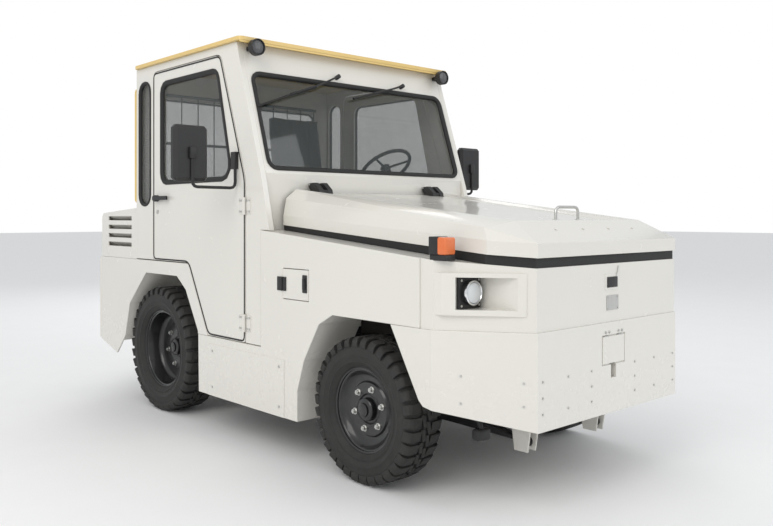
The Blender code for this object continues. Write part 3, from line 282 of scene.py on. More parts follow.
# ---------------------------------------------------------------- settings
class TugPaint(bpy.types.PropertyGroup):
    body: FloatVectorProperty(name="Body paint", description="Colour of the sheet metal",
                              subtype="COLOR", size=3, default=(0.775, 0.755, 0.700))
    roof: FloatVectorProperty(name="Roof edge", description="Colour of the roof plate",
                              subtype="COLOR", size=3, default=(0.78, 0.56, 0.20))
    wheels: FloatVectorProperty(name="Wheels", description="Colour of the rims",
                                subtype="COLOR", size=3, default=(0.005, 0.005, 0.006))
    amber: FloatVectorProperty(name="Indicators", description="Colour of the turn lamps",
                               subtype="COLOR", size=3, default=(0.80, 0.17, 0.03))
    edge: FloatProperty(name="Edge radius", description="Rounding of the sheet metal's edges",
                        unit="LENGTH", default=0.004, min=0.0005, max=0.01)


class TugWheels(bpy.types.PropertyGroup):
    lugs: IntProperty(name="Tread blocks", description="Shoulder blocks on each side of a tyre",
                      default=34, min=12, max=60)
    groove: FloatProperty(name="Tread depth", description="Depth of the tread grooves",
                          unit="LENGTH", default=0.011, min=0.004, max=0.02)
    nuts: IntProperty(name="Wheel nuts", description="Nuts on a wheel", default=6, min=4, max=10)
    nut_circle: FloatProperty(name="Nut circle", description="Radius of the circle of nuts",
                              unit="LENGTH", default=0.1025, min=0.08, max=0.14)


class TugTrim(bpy.types.PropertyGroup):
    seal: FloatProperty(name="Window seal", description="Width of the rubber round the glass",
                        unit="LENGTH", default=0.022, min=0.01, max=0.04)
    bolt: FloatProperty(name="Bolt head", description="Radius of the small panel bolts",
                        unit="LENGTH", default=0.0065, min=0.003, max=0.012)
    bars: IntProperty(name="Guard bars", description="Upright bars inside the rear window",
                      default=11, min=2, max=24)
    wire: FloatProperty(name="Guard bar radius", description="Radius of the rear guard's bars",
                        unit="LENGTH", default=0.004, min=0.002, max=0.01)


class TugStage(bpy.types.PropertyGroup):
    key: FloatProperty(name="Key light", description="Power of the main soft light",
                       subtype="POWER", default=210.0, min=0.0, max=3000.0)
    fill: FloatProperty(name="Fill light", description="Power of the second soft light",
                        subtype="POWER", default=120.0, min=0.0, max=3000.0)
    sky: FloatProperty(name="Sky", description="Strength of the even light from all sides",
                       default=0.76, min=0.0, max=2.0)


GROUPS = (("tug_paint", TugPaint), ("tug_wheels", TugWheels), ("tug_trim", TugTrim),
          ("tug_stage", TugStage))
FINISH = {}


def make_finishes(paint):
    FINISH.update(
        # painted()'s last number sets how strongly the paint is darkened low down, as painted shade.
        cream=painted("cream gloss paint", paint.body),
        roof=painted("yellow roof paint", paint.roof, 0.35, 0.2, 0.0),
        wheel=painted("black wheel paint", paint.wheels, 0.22, 0.6, 0.6),
        chassis=painted("black chassis paint", (0.018, 0.018, 0.019), 0.5, 0.1, 0.9),
        plastic=moulded("black moulded plastic", (0.016, 0.016, 0.017), 0.42),
        dash=moulded("grey dash plastic", (0.045, 0.046, 0.048), 0.55),
        tyre=moulded("tyre rubber", (0.011, 0.011, 0.011), 0.62, 320.0, 0.3, 0.10),
        rubber=moulded("seal rubber", (0.012, 0.012, 0.012), 0.55, 500.0, 0.15),
        mat=moulded("floor mat rubber", (0.02, 0.02, 0.02), 0.8, 90.0, 0.5),
        steel=metal("zinc plated steel", (0.62, 0.62, 0.60), 0.28),
        iron=metal("cast iron", (0.12, 0.115, 0.11), 0.55, 300.0),
        chrome=metal("lamp reflector", (0.86, 0.87, 0.88), 0.06, 60.0),
        mirror=metal("mirror silver", (0.90, 0.91, 0.92), 0.02, 10.0),
        glass=see_through("green tinted glass", (0.020, 0.032, 0.030), 0.30),
        clear=lens("clear lamp lens", (0.75, 0.78, 0.80)),
        amber=lens("amber lamp lens", paint.amber, ribs=260.0),
        smoked=lens("dark lamp lens", (0.05, 0.052, 0.056)),
        vinyl=grained_vinyl("seat vinyl", (0.022, 0.022, 0.024)),
        liner=moulded("cab liner", (0.50, 0.49, 0.45), 0.6),
    )


# ---------------------------------------------------------------- mesh writing
def piece_from(name, bm, finish, body, replaces=(), sharp=35.0):
    """A finished piece from a bmesh: shaded smooth up to an angle, riding on its body."""
    bmesh.ops.remove_doubles(bm, verts=bm.verts, dist=1e-6)
    mesh = bpy.data.meshes.new(name)
    bm.to_mesh(mesh)
    bm.free()
    return piece_of(name, mesh, finish, body, replaces, sharp)


def piece_of(name, mesh, finish, body, replaces=(), sharp=35.0):
    piece = bpy.data.objects.new(name, mesh)
    bpy.context.scene.collection.objects.link(piece)
    mesh.materials.clear()
    mesh.materials.append(FINISH[finish])
    mesh.shade_smooth()
    mesh.set_sharp_from_angle(angle=math.radians(sharp))
    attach(piece, body)
    if replaces:
        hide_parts(*replaces)
    return piece


def block(bm, x, y, z, bevel=0.0, segments=2):
    """A box between (low, high) limits, with its edges rounded."""
    made = bmesh.ops.create_cube(bm, size=1.0)["verts"]
    low, high = Vector((x[0], y[0], z[0])), Vector((x[1], y[1], z[1]))
    for vert in made:
        vert.co = Vector(low[i] if vert.co[i] < 0 else high[i] for i in range(3))
    if bevel:
        edges = list({edge for vert in made for edge in vert.link_edges})
        bmesh.ops.bevel(bm, geom=edges, offset=bevel, segments=segments, affect="EDGES",
                        profile=0.5)
    return bm


def rod(bm, start, end, radius, sides=16, end_radius=None):
    """A round bar, or a cone if the end's radius differs."""
    start, end = Vector(start), Vector(end)
    turn = (end - start).to_track_quat("Z", "Y").to_matrix().to_4x4()
    bmesh.ops.create_cone(bm, cap_ends=True, segments=sides, radius1=radius,
                          radius2=radius if end_radius is None else end_radius,
                          depth=(end - start).length,
                          matrix=Matrix.Translation((start + end) / 2) @ turn)
    return bm


def turned(bm, profile, centre, axis, steps=48, closed=False):
    """A (radius, along) profile turned about an axis: "x", "y" or "z", or a direction."""
    line = Vector({"x": (1, 0, 0), "y": (0, 1, 0), "z": (0, 0, 1)}[axis]) if isinstance(axis, str) \
        else Vector(axis).normalized()
    across = line.orthogonal().normalized()
    up = line.cross(across)
    centre = Vector(centre)
    rings = []
    for radius, along in profile:
        if radius < 1e-7:
            rings.append([bm.verts.new(centre + line * along)] * steps)
            continue
        rings.append([bm.verts.new(centre + line * along + (across * math.cos(turn)
                      + up * math.sin(turn)) * radius)
                      for turn in (2 * math.pi * step / steps for step in range(steps))])
    pairs = list(zip(rings, rings[1:])) + ([(rings[-1], rings[0])] if closed else [])
    faces = []
    for first, second in pairs:
        for step in range(steps):
            after = (step + 1) % steps
            corners = []
            for vert in (first[step], first[after], second[after], second[step]):
                if vert not in corners:
                    corners.append(vert)
            if len(corners) > 2:
                faces.append(bm.faces.new(corners))
    bmesh.ops.recalc_face_normals(bm, faces=faces)
    return bm


def pipe(name, points, radius, finish, body, corner=0.03, cyclic=False, smooth=4):
    """A bent round bar through points, its corners rounded."""
    curve = bpy.data.curves.new(name, "CURVE")
    curve.dimensions = "3D"
    curve.bevel_depth = radius
    curve.bevel_resolution = 3
    curve.use_fill_caps = True
    route = soft_corners(points, corner, smooth, cyclic)
    spline = curve.splines.new("POLY")
    spline.points.add(len(route) - 1)
    for index, point in enumerate(route):
        spline.points[index].co = (*point, 1)
    spline.use_cyclic_u = cyclic
    holder = bpy.data.objects.new(name + "_line", curve)
    bpy.context.scene.collection.objects.link(holder)
    mesh = plain_mesh(holder)
    bm = bmesh.new()
    bm.from_mesh(mesh)
    bmesh.ops.remove_doubles(bm, verts=bm.verts, dist=1e-6)
    bmesh.ops.recalc_face_normals(bm, faces=bm.faces)
    return piece_from(name, bm, finish, body)


def soft_corners(points, radius, steps, cyclic=False):
    points = [Vector(p) for p in points]
    count = len(points)
    out = []
    for index, corner in enumerate(points):
        if not cyclic and index in (0, count - 1):
            out.append(corner)
            continue
        before, after = points[index - 1] - corner, points[(index + 1) % count] - corner
        reach = min(radius, before.length * 0.49, after.length * 0.49)
        start, end = corner + before.normalized() * reach, corner + after.normalized() * reach
        for step in range(steps + 1):
            t = step / steps
            out.append(start * (1 - t) ** 2 + corner * 2 * t * (1 - t) + end * t ** 2)
    return out


def plain_mesh(holder):
    """The evaluated object as a plain mesh; the object goes."""
    graph = bpy.context.evaluated_depsgraph_get()
    graph.update()
    mesh = bpy.data.meshes.new_from_object(holder.evaluated_get(graph), depsgraph=graph)
    mesh.transform(holder.matrix_world)
    bpy.data.objects.remove(holder, do_unlink=True)
    return mesh


def outline_of(node, direction):
    """The rim of a flat pane: the boundary of its faces that look along direction."""
    bm = bmesh.new()
    bm.from_mesh(NODES[node].data)
    bmesh.ops.remove_doubles(bm, verts=bm.verts, dist=1e-5)
    direction = Vector(direction).normalized()
    facing = {f for f in bm.faces if f.normal.dot(direction) > 0.9}
    rim = [e for e in bm.edges if sum(f in facing for f in e.link_faces) == 1]
    follow = {}
    for edge in rim:
        for vert in edge.verts:
            follow.setdefault(vert, []).append(edge.other_vert(vert))
    start = rim[0].verts[0]
    loop, last, vert = [start.co.copy()], None, start
    while True:
        ahead = next(v for v in follow[vert] if v is not last)
        last, vert = vert, ahead
        if vert is start:
            break
        loop.append(vert.co.copy())
    bm.free()
    return loop


def gasket(bm, loop, normal, section, reversed_section=False):
    """A strip swept round a flat closed loop; section is (outwards, off the plane) points."""
    normal = Vector(normal).normalized()
    count = len(loop)
    area = sum((loop[i].cross(loop[(i + 1) % count]) for i in range(count)), Vector())
    sense = 1 if area.dot(normal) > 0 else -1
    rows = []
    for index, point in enumerate(loop):
        back = (point - loop[index - 1]).normalized()
        ahead = (loop[(index + 1) % count] - point).normalized()
        out_back, out_ahead = back.cross(normal) * sense, ahead.cross(normal) * sense
        mitre = (out_back + out_ahead).normalized()
        mitre /= max(0.5, mitre.dot(out_back))
        rows.append([bm.verts.new(point + mitre * out + normal * off) for out, off in section])
    faces = []
    for index in range(count):
        here, there = rows[index], rows[(index + 1) % count]
        for place in range(len(section)):
            after = (place + 1) % len(section)
            faces.append(bm.faces.new((here[place], there[place], there[after], here[after])))
    bmesh.ops.recalc_face_normals(bm, faces=faces)
    return bm


# ---------------------------------------------------------------- geometry node trees
def geometry_tree(name, inputs):
    """A tree with a geometry input, the named inputs and a geometry output."""
    group = bpy.data.node_groups.new(name, "GeometryNodeTree")
    group.interface.new_socket("Geometry", in_out="INPUT", socket_type="NodeSocketGeometry")
    for label, kind, value in inputs:
        item = group.interface.new_socket(label, in_out="INPUT", socket_type=f"NodeSocket{kind}")
        if value is not None:
            item.default_value = value
    group.interface.new_socket("Geometry", in_out="OUTPUT", socket_type="NodeSocketGeometry")
    start = group.nodes.new("NodeGroupInput")
    sockets = {output.name: Socket(Tree(group), output) for output in start.outputs if output.name}
    return group, Tree(group), sockets


def end_tree(group, tree, geometry, material):
    real = tree.add("GeometryNodeRealizeInstances", None, {"Geometry": geometry})
    done = tree.add("GeometryNodeSetMaterial", None, {"Geometry": real, "Material": material})
    out = group.nodes.new("NodeGroupOutput")
    group.links.new(done.output, out.inputs[0])
    return group


def ring_tree():
    """Copies of one element turned round the X axis of the tree's object."""
    group, tree, given = geometry_tree("ring of copies", (
        ("Count", "Int", 8), ("Phase", "Float", 0.0), ("Material", "Material", None)))
    points = tree.add("GeometryNodeMeshLine", {"mode": "OFFSET"},
                      {"Count": given["Count"], "Offset": (0.0, 0.0, 0.0)})
    index = tree.add("GeometryNodeInputIndex")
    share = tree.add("ShaderNodeMath", {"operation": "DIVIDE"}, {0: index, 1: given["Count"]})
    angle = share * (2 * math.pi) + given["Phase"]
    turn = tree.add("ShaderNodeCombineXYZ", None, {"X": angle})
    copies = tree.add("GeometryNodeInstanceOnPoints", None,
                      {"Points": points, "Instance": given["Geometry"], "Rotation": turn})
    return end_tree(group, tree, copies, given["Material"])


def row_tree():
    """Copies of one element in a straight row."""
    group, tree, given = geometry_tree("row of copies", (
        ("Count", "Int", 4), ("Step", "Vector", (0.0, 0.0, 0.05)), ("Material", "Material", None)))
    points = tree.add("GeometryNodeMeshLine", {"mode": "OFFSET"},
                      {"Count": given["Count"], "Offset": given["Step"]})
    copies = tree.add("GeometryNodeInstanceOnPoints", None,
                      {"Points": points, "Instance": given["Geometry"]})
    return end_tree(group, tree, copies, given["Material"])


def bolt_tree():
    """A low domed head on every vertex of the object, standing along a direction."""
    group, tree, given = geometry_tree("bolt heads", (
        ("Radius", "Float", 0.006), ("Height", "Float", 0.004), ("Sides", "Int", 12),
        ("Direction", "Vector", (0.0, -1.0, 0.0)), ("Material", "Material", None)))
    head = tree.add("GeometryNodeMeshCylinder", None, {
        "Vertices": given["Sides"], "Radius": given["Radius"], "Depth": given["Height"]})
    lift = tree.add("ShaderNodeCombineXYZ", None, {"Z": given["Height"] * 0.5})
    head = tree.add("GeometryNodeTransform", None, {"Geometry": head, "Translation": lift})
    crown = tree.add("GeometryNodeMeshCylinder", None, {
        "Vertices": given["Sides"], "Radius": given["Radius"] * 0.62,
        "Depth": given["Height"] * 0.5})
    lift = tree.add("ShaderNodeCombineXYZ", None, {"Z": given["Height"] * 1.2})
    crown = tree.add("GeometryNodeTransform", None, {"Geometry": crown, "Translation": lift})
    both = group.nodes.new("GeometryNodeJoinGeometry")
    for part in (head, crown):
        group.links.new(part.output, both.inputs[0])
    turn = tree.add("FunctionNodeAlignRotationToVector", {"axis": "Z"},
                    {"Vector": given["Direction"]})
    copies = tree.add("GeometryNodeInstanceOnPoints", None, {
        "Points": given["Geometry"], "Instance": Socket(tree, both.outputs[0]),
        "Rotation": turn})
    return end_tree(group, tree, copies, given["Material"])


TREES = {}


def grown(name, bm, tree, inputs, finish, body, centre=(0, 0, 0), replaces=(), sharp=35.0):
    """A plain piece grown from a small mesh by one of the node trees."""
    mesh = bpy.data.meshes.new(name)
    bm.to_mesh(mesh)
    bm.free()
    holder = bpy.data.objects.new(name + "_seed", mesh)
    bpy.context.scene.collection.objects.link(holder)
    holder.location = centre
    step = holder.modifiers.new("copies", "NODES")
    step.node_group = TREES[tree]
    for item in step.node_group.interface.items_tree:
        if item.in_out == "INPUT" and item.name in inputs:
            step[item.identifier] = inputs[item.name]
        if item.in_out == "INPUT" and item.name == "Material":
            step[item.identifier] = FINISH[finish]
    bpy.context.view_layer.update()
    return piece_of(name, plain_mesh(holder), finish, body, replaces, sharp)


def bolts(name, places, direction, finish, body, radius, height=None, sides=12):
    bm = bmesh.new()
    for place in places:
        bm.verts.new(place)
    return grown(name, bm, "bolts", {
        "Radius": radius, "Height": height or radius * 0.55, "Sides": sides,
        "Direction": direction}, finish, body)


# ---------------------------------------------------------------- sheet metal and plain nodes
SHEET_NODES = ("front_bumper", "nose_panel", "hood", "cab_front", "rear_cover", "rear_plate",
               "cab_rear", "coupling_flap", "fuel_hatch",
               "front_fender_right", "front_fender_left", "rear_fender_right",
               "rear_fender_left", "cab_side_right", "cab_side_left", "door_right", "door_left")
PLAIN_NODES = {
    "cab_floor": "mat", "chassis_frame": "chassis", "front_axle": "chassis",
    "rear_axle": "chassis", "engine_block": "iron", "rear_coupling": "iron",
    "dashboard": "dash", "hood_seal": "rubber", "roof_plate": "roof", "seat_base": "chassis",
    "windscreen": "glass", "rear_window": "glass", "hood_hinge_right": "plastic",
    "hood_hinge_left": "plastic",
}
PLAIN_PAIRS = {"quarter_glass": "glass", "door_glass": "glass", "front_spring": "chassis",
               "knuckle": "chassis", "door_handle": "plastic", "mirror": "plastic",
               "roof_lamp": "plastic", "headlamp": "plastic"}


def body_of_node(node):
    return NODES[node].parent.name.partition(":")[2]


def soften(node, finish, width):
    """A copy of a node's mesh with its corners rounded, which stands for the node."""
    bm = bmesh.new()
    bm.from_mesh(NODES[node].data)
    bmesh.ops.remove_doubles(bm, verts=bm.verts, dist=1e-5)
    bmesh.ops.dissolve_limit(bm, angle_limit=math.radians(0.4), verts=bm.verts, edges=bm.edges)
    piece = piece_from(node + "_skin", bm, finish, body_of_node(node), (node,), 30.0)
    rounding = piece.modifiers.new("edges", "BEVEL")
    rounding.width = width
    rounding.segments = 2
    rounding.limit_method = "ANGLE"
    rounding.angle_limit = math.radians(12)
    rounding.harden_normals = True
    rounding.use_clamp_overlap = True
    return piece


class TUG_OT_panels(bpy.types.Operator):
    """Round the sheet metal's edges and give every frame node its finish"""
    bl_idname = "tug.panels"
    bl_label = "Panels"

    def execute(self, context):
        edge = context.scene.tug_paint.edge
        for node in SHEET_NODES:
            soften(node, "cream", edge if node != "coupling_flap" else edge / 3)
        plain = dict(PLAIN_NODES)
        for stem, finish in PLAIN_PAIRS.items():
            plain.update({f"{stem}_{label}": finish for _, label in SIDES})
        for node, finish in plain.items():
            mesh = NODES[node].data
            mesh.materials.clear()
            mesh.materials.append(FINISH[finish])
        return {"FINISHED"}


# ---------------------------------------------------------------- wheels
def tread_block(bm, section, half_length, skew=0.0):
    """One rubber block: a (along, radius) section carried a short way round the tyre."""
    rows = []
    for turn, shift in ((-half_length, -skew), (half_length, skew)):
        rows.append([bm.verts.new((along + shift, turn, radius)) for along, radius in section])
    faces = [bm.faces.new(rows[0]), bm.faces.new(list(reversed(rows[1])))]
    count = len(section)
    for place in range(count):
        after = (place + 1) % count
        faces.append(bm.faces.new((rows[0][place], rows[1][place], rows[1][after],
                                   rows[0][after])))
    bmesh.ops.recalc_face_normals(bm, faces=faces)
    edges = list({edge for face in faces for edge in face.edges})
    bmesh.ops.bevel(bm, geom=edges, offset=0.0022, segments=1, affect="EDGES")


class TUG_OT_tyres(bpy.types.Operator):
    """Tyres with shoulder blocks, a zigzag middle and ridged walls"""
    bl_idname = "tug.tyres"
    bl_label = "Tyres"

    def execute(self, context):
        wheels = context.scene.tug_wheels
        for end in ("front", "rear"):
            for side, label in SIDES:
                self.make(wheels, end, label)
        return {"FINISHED"}

    def make(self, wheels, end, label):
        node = f"{end}_tyre_{label}"
        body = f"{label}_{end}_wheel"
        low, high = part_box(node)
        centre = (low + high) / 2
        half = (high.x - low.x) / 2
        radius = (high.z - low.z) / 2 - 0.0018
        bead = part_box(f"{end}_rim_{label}")
        bead = (bead[1].z - bead[0].z) / 2 - 0.024
        groove = wheels.groove
        base = radius - groove
        flank = [(bead + 0.001, half - 0.034), (bead + 0.012, half - 0.020),
                 (bead + 0.030, half - 0.010), (bead + 0.033, half - 0.006),
                 (bead + 0.037, half - 0.006), (bead + 0.041, half - 0.009),
                 (bead + 0.062, half - 0.003), (bead + 0.066, half),
                 (bead + 0.070, half), (bead + 0.074, half - 0.003),
                 (base - 0.046, half - 0.002), (base - 0.030, half - 0.008),
                 (base - 0.012, half - 0.020), (base - 0.003, half - 0.032), (base, half - 0.045)]
        loop = flank + [(r, -a) for r, a in reversed(flank)]
        bm = turned(bmesh.new(), loop, centre, "x", 72, closed=True)
        piece_from(node + "_case", bm, "tyre", body, (node,), 50.0)
        pitch = 2 * math.pi * radius / wheels.lugs
        shoulder = [(half * 0.30, base - 0.004), (half * 0.30, radius), (half - 0.022, radius - 0.001),
                    (half - 0.007, radius - 0.010), (half, radius - 0.024),
                    (half, radius - 0.046), (half - 0.010, radius - 0.052), (half - 0.030, base - 0.012)]
        bm = bmesh.new()
        tread_block(bm, shoulder, pitch * 0.35, 0.004)
        inner = [(half * 0.04, base - 0.004), (half * 0.04, radius), (half * 0.24, radius),
                 (half * 0.24, base - 0.004)]
        tread_block(bm, inner, pitch * 0.46, -0.008)
        grown(node + "_outer_blocks", bm, "ring", {"Count": wheels.lugs, "Phase": 0.0},
              "tyre", body, centre, sharp=30.0)
        bm = bmesh.new()
        tread_block(bm, [(-a, r) for a, r in shoulder], pitch * 0.35, 0.004)
        tread_block(bm, [(-a, r) for a, r in inner], pitch * 0.46, -0.008)
        grown(node + "_inner_blocks", bm, "ring",
              {"Count": wheels.lugs, "Phase": math.pi / wheels.lugs}, "tyre", body, centre,
              sharp=30.0)


class TUG_OT_rims(bpy.types.Operator):
    """Dished rims with lock ring, hub cap and wheel nuts"""
    bl_idname = "tug.rims"
    bl_label = "Rims"

    def execute(self, context):
        wheels = context.scene.tug_wheels
        for end, disc in (("front", 0.036), ("rear", -0.030)):
            for side, label in SIDES:
                self.make(wheels, end, side, label, disc)
        return {"FINISHED"}

    def make(self, wheels, end, side, label, disc):
        node = f"{end}_rim_{label}"
        body = f"{label}_{end}_wheel"
        low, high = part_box(node)
        tyre_low, tyre_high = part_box(f"{end}_tyre_{label}")
        centre = (tyre_low + tyre_high) / 2
        lip = (high.z - low.z) / 2 - 0.0015
        half = (high.x - low.x) / 2 - 0.0005 if end == "rear" else 0.0875
        seat = lip - 0.026
        bore = seat - 0.013
        circle = wheels.nut_circle if end == "front" else wheels.nut_circle * 1.2
        profile = [
            (0.0, disc - 0.030), (0.052, disc - 0.030), (0.060, disc - 0.012),
            (bore - 0.012, disc - 0.012), (bore - 0.003, disc - 0.020), (bore - 0.003, -half + 0.014),
            (bore + 0.010, -half + 0.003), (lip - 0.003, -half), (lip, -half + 0.003),
            (lip, -half + 0.009), (seat, -half + 0.018), (seat, half - 0.018), (lip, half - 0.010),
            (lip, half - 0.003), (lip - 0.003, half), (lip - 0.010, half - 0.001),
            (bore + 0.013, half - 0.010), (bore + 0.011, half - 0.016), (bore + 0.004, half - 0.017),
            (bore, half - 0.022), (bore - 0.001, disc + 0.030), (bore - 0.012, disc + 0.012),
            (bore - 0.030, disc + 0.001), (circle + 0.036, disc), (circle + 0.028, disc + 0.009),
            (circle - 0.026, disc + 0.009), (0.070, disc + 0.003), (0.066, disc + 0.006),
            (0.058, disc + 0.006), (0.056, disc + 0.034), (0.050, disc + 0.040),
            (0.036, disc + 0.042), (0.034, disc + 0.050), (0.028, disc + 0.053), (0.0, disc + 0.053)]
        profile = [(r, a * side) for r, a in profile]
        bm = turned(bmesh.new(), profile, centre, "x", 72)
        piece_from(node + "_dish", bm, "wheel", body, (node,), 40.0)
        face = (disc + 0.009) * side
        bm = bmesh.new()
        rod(bm, (face, 0, circle), (face + 0.003 * side, 0, circle), 0.0165, 20)
        rod(bm, (face, 0, circle), (face + 0.016 * side, 0, circle), 0.0125, 6)
        rod(bm, (face, 0, circle), (face + 0.021 * side, 0, circle), 0.0070, 12)
        grown(f"{node}_nuts", bm, "ring", {"Count": wheels.nuts, "Phase": 0.26}, "steel", body,
              centre, sharp=25.0)


# ---------------------------------------------------------------- glass surrounds
class TUG_OT_seals(bpy.types.Operator):
    """Rubber seals round every pane, and a black strip on the door's face along its edge that is part
    seal, part painted shade of the door gap
    """
    bl_idname = "tug.seals"
    bl_label = "Window and door seals"

    def execute(self, context):
        width = context.scene.tug_trim.seal
        slope = self.pane_normal("windscreen", Vector((0, -1, 0.3)))
        self.surround("windscreen_seal", "windscreen", slope, width, 0.017, "body")
        self.surround("rear_window_seal", "rear_window", Vector((0, 1, 0)), width, 0.019, "body")
        for side, label in SIDES:
            out = Vector((side, 0, 0))
            self.surround(f"door_window_seal_{label}", f"door_glass_{label}", out, width * 1.25,
                          0.0145, f"{label}_door")
            self.surround(f"quarter_window_seal_{label}", f"quarter_glass_{label}", out,
                          width * 0.8, 0.0165, "body")
            self.door_edge(side, label)
        return {"FINISHED"}

    @staticmethod
    def pane_normal(node, near):
        mesh = NODES[node].data
        best = max(mesh.polygons, key=lambda p: p.area * (1 if p.normal.dot(near) > 0.5 else 0))
        return best.normal.copy()

    def surround(self, name, node, normal, width, stand, body):
        loop = outline_of(node, normal)
        section = [(-0.010, -0.0002), (-0.010, stand - 0.007), (-0.004, stand + 0.0015),
                   (width * 0.35, stand + 0.0045), (width - 0.006, stand + 0.0025),
                   (width - 0.004, stand - 0.0062), (-0.0002, stand - 0.0062)]
        bm = gasket(bmesh.new(), loop, normal, section)
        piece_from(name, bm, "rubber", body, sharp=50.0)

    def door_edge(self, side, label):
        """Black strip round the door's face just inside its edge: a weather strip, drawn wide so that it
        also gives the painted shade of the door's shut gap.
        """
        corners = [(2.973, 1.019), (2.973, 2.286), (2.1156, 2.286), (1.846, 1.5306),
                   (1.846, 0.587), (2.2615, 0.587), (2.5005, 1.019)]
        face = side * (SIDE + SEAT_GAP)
        route = soft_corners([(face, fy(d), z) for d, z in corners], 0.045, 5, True)
        section = [(-0.016, 0.0), (-0.006, 0.0), (-0.007, 0.0022), (-0.015, 0.0022)]
        bm = gasket(bmesh.new(), route, (side, 0, 0), section)
        piece_from(f"door_edge_seal_{label}", bm, "rubber", f"{label}_door", sharp=40.0)


# ---------------------------------------------------------------- front of the machine
class TUG_OT_front(bpy.types.Operator):
    """Bolt rows, latch, lamps and indicators of the nose"""
    bl_idname = "tug.front"
    bl_label = "Nose fittings"

    def execute(self, context):
        radius = context.scene.tug_trim.bolt
        self.plate_bolts(radius)
        self.latch_and_flap(radius)
        for side, label in SIDES:
            self.headlamp(side, label)
            self.indicator(side, label)
        self.tow_hook()
        return {"FINISHED"}

    def plate_bolts(self, radius):
        face = FRONT - SEAT_GAP
        rows = (0.604, 0.534, 0.464)
        places = []
        for across, used in ((0.188, rows), (0.373, rows[::2]), (0.562, rows)):
            places += [(side * across, face, z) for side, _ in SIDES for z in used]
        bolts("bumper_bolts", places, (0, -1, 0), "steel", "body", radius * 0.8)
        slant = Vector((SIDE - 0.596, 0.375)).normalized()
        for side, label in SIDES:
            start = Vector((side * 0.596, FRONT))
            along = Vector((side * slant.x, slant.y))
            out = Vector((side * slant.y, -slant.x, 0))
            spots = [start + along * run for run in (0.060, 0.330)]
            places = [(spot.x + out.x * SEAT_GAP, spot.y + out.y * SEAT_GAP, z)
                      for spot, zs in zip(spots, ((0.600, 0.500), (0.620, 0.500))) for z in zs]
            bolts(f"corner_bolts_{label}", places, out, "steel", "body", radius * 0.8)

    def latch_and_flap(self, radius):
        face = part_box("nose_panel")[0].y - SEAT_GAP
        bm = bmesh.new()
        block(bm, (-0.064, 0.050), (face - 0.002, face + 0.0003), (0.968, 1.042), 0.001)
        piece_from("hood_latch_plate", bm, "cream", "body")
        bm = bmesh.new()
        block(bm, (-0.050, 0.036), (face - 0.0072, face - 0.0025), (0.980, 1.030), 0.0015)
        piece_from("hood_latch", bm, "plastic", "body")
        pipe("latch_strap", [(0.026, face - 0.0045, 1.025), (0.042, face - 0.0045, 1.055),
                             (0.050, face - 0.0032, 1.080)], 0.0026, "steel", "body", 0.02)
        bm = bmesh.new()
        block(bm, (-0.052, 0.050), (face - 0.003, face + 0.001), (0.872, 0.942), 0.001, 1)
        piece_from("blank_plate", bm, "steel", "body")
        bolts("plate_screws", [(x, face - 0.003, z) for x in (-0.044, 0.042)
                               for z in (0.880, 0.934)], (0, -1, 0), "steel", "body", 0.004)
        front = FRONT - SEAT_GAP
        bolts("flap_screws", [(x, front, 0.770) for x in (-0.070, -0.040, 0.040, 0.070)],
              (0, -1, 0), "steel", "body", radius)
        low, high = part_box("coupling_flap")
        bm = bmesh.new()
        for x in (-0.060, 0.060):
            rod(bm, (x - 0.018, low.y + 0.004, high.z), (x + 0.018, low.y + 0.004, high.z),
                0.0045, 12)
        piece_from("flap_hinges", bm, "steel", "coupling_flap")

    def headlamp(self, side, label):
        low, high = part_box(f"headlamp_{label}")
        centre = (low + high) / 2
        face = low.y
        bm = turned(bmesh.new(), [(0.0, -0.0002), (0.048, -0.0002), (0.055, 0.004), (0.055, 0.012),
                                  (0.050, 0.016), (0.047, 0.012), (0.046, 0.006), (0.0, 0.004)],
                    (centre.x, face - SEAT_GAP, centre.z), (0, -1, 0), 40)
        piece_from(f"headlamp_bezel_{label}", bm, "chrome", "body")
        bm = turned(bmesh.new(), [(0.0, 0.019), (0.014, 0.0185), (0.030, 0.0165), (0.044, 0.012),
                                  (0.0455, 0.007), (0.0, 0.0065)],
                    (centre.x, face - SEAT_GAP, centre.z), (0, -1, 0), 40)
        piece_from(f"headlamp_lens_{label}", bm, "clear", "body")
        plate = [(centre.x + x, high.y - 0.0172, centre.z + z) for x in (-0.058, 0.058)
                 for z in (-0.056, 0.056)]
        bolts(f"headlamp_screws_{label}", plate, (0, -1, 0), "steel", "body", 0.0055)

    def indicator(self, side, label):
        """Amber block lamp on a black foot at the nose's top corner."""
        x, y, z = side * 0.822, fy(0.345), 1.118
        top = 1.122
        bm = block(bmesh.new(), (x - 0.030, x + 0.030), (y - 0.050, y + 0.050),
                   (top, top + 0.026), 0.004)
        piece_from(f"indicator_foot_{label}", bm, "plastic", "body")
        bm = block(bmesh.new(), (x - 0.034, x + 0.034), (y - 0.050, y + 0.050),
                   (top + 0.0263, top + 0.104), 0.009, 3)
        piece_from(f"indicator_lens_{label}", bm, "amber", "body")
        bm = block(bmesh.new(), (x - 0.0355, x + 0.0355), (y - 0.004, y + 0.0515),
                   (top + 0.0262, top + 0.106), 0.004)
        piece_from(f"indicator_shell_{label}", bm, "plastic", "body")

    def tow_hook(self):
        """Work lamp slung under the right end of the front plate."""
        bm = bmesh.new()
        block(bm, (-0.640, -0.560), (fy(0.285), fy(0.335)), (0.300, 0.352), 0.010, 3)
        rod(bm, (-0.600, fy(0.310), 0.345), (-0.600, fy(0.330), 0.400), 0.012)
        block(bm, (-0.625, -0.575), (fy(0.290), fy(0.360)), (0.385, 0.4615), 0.004)
        piece_from("low_lamp", bm, "plastic", "body")


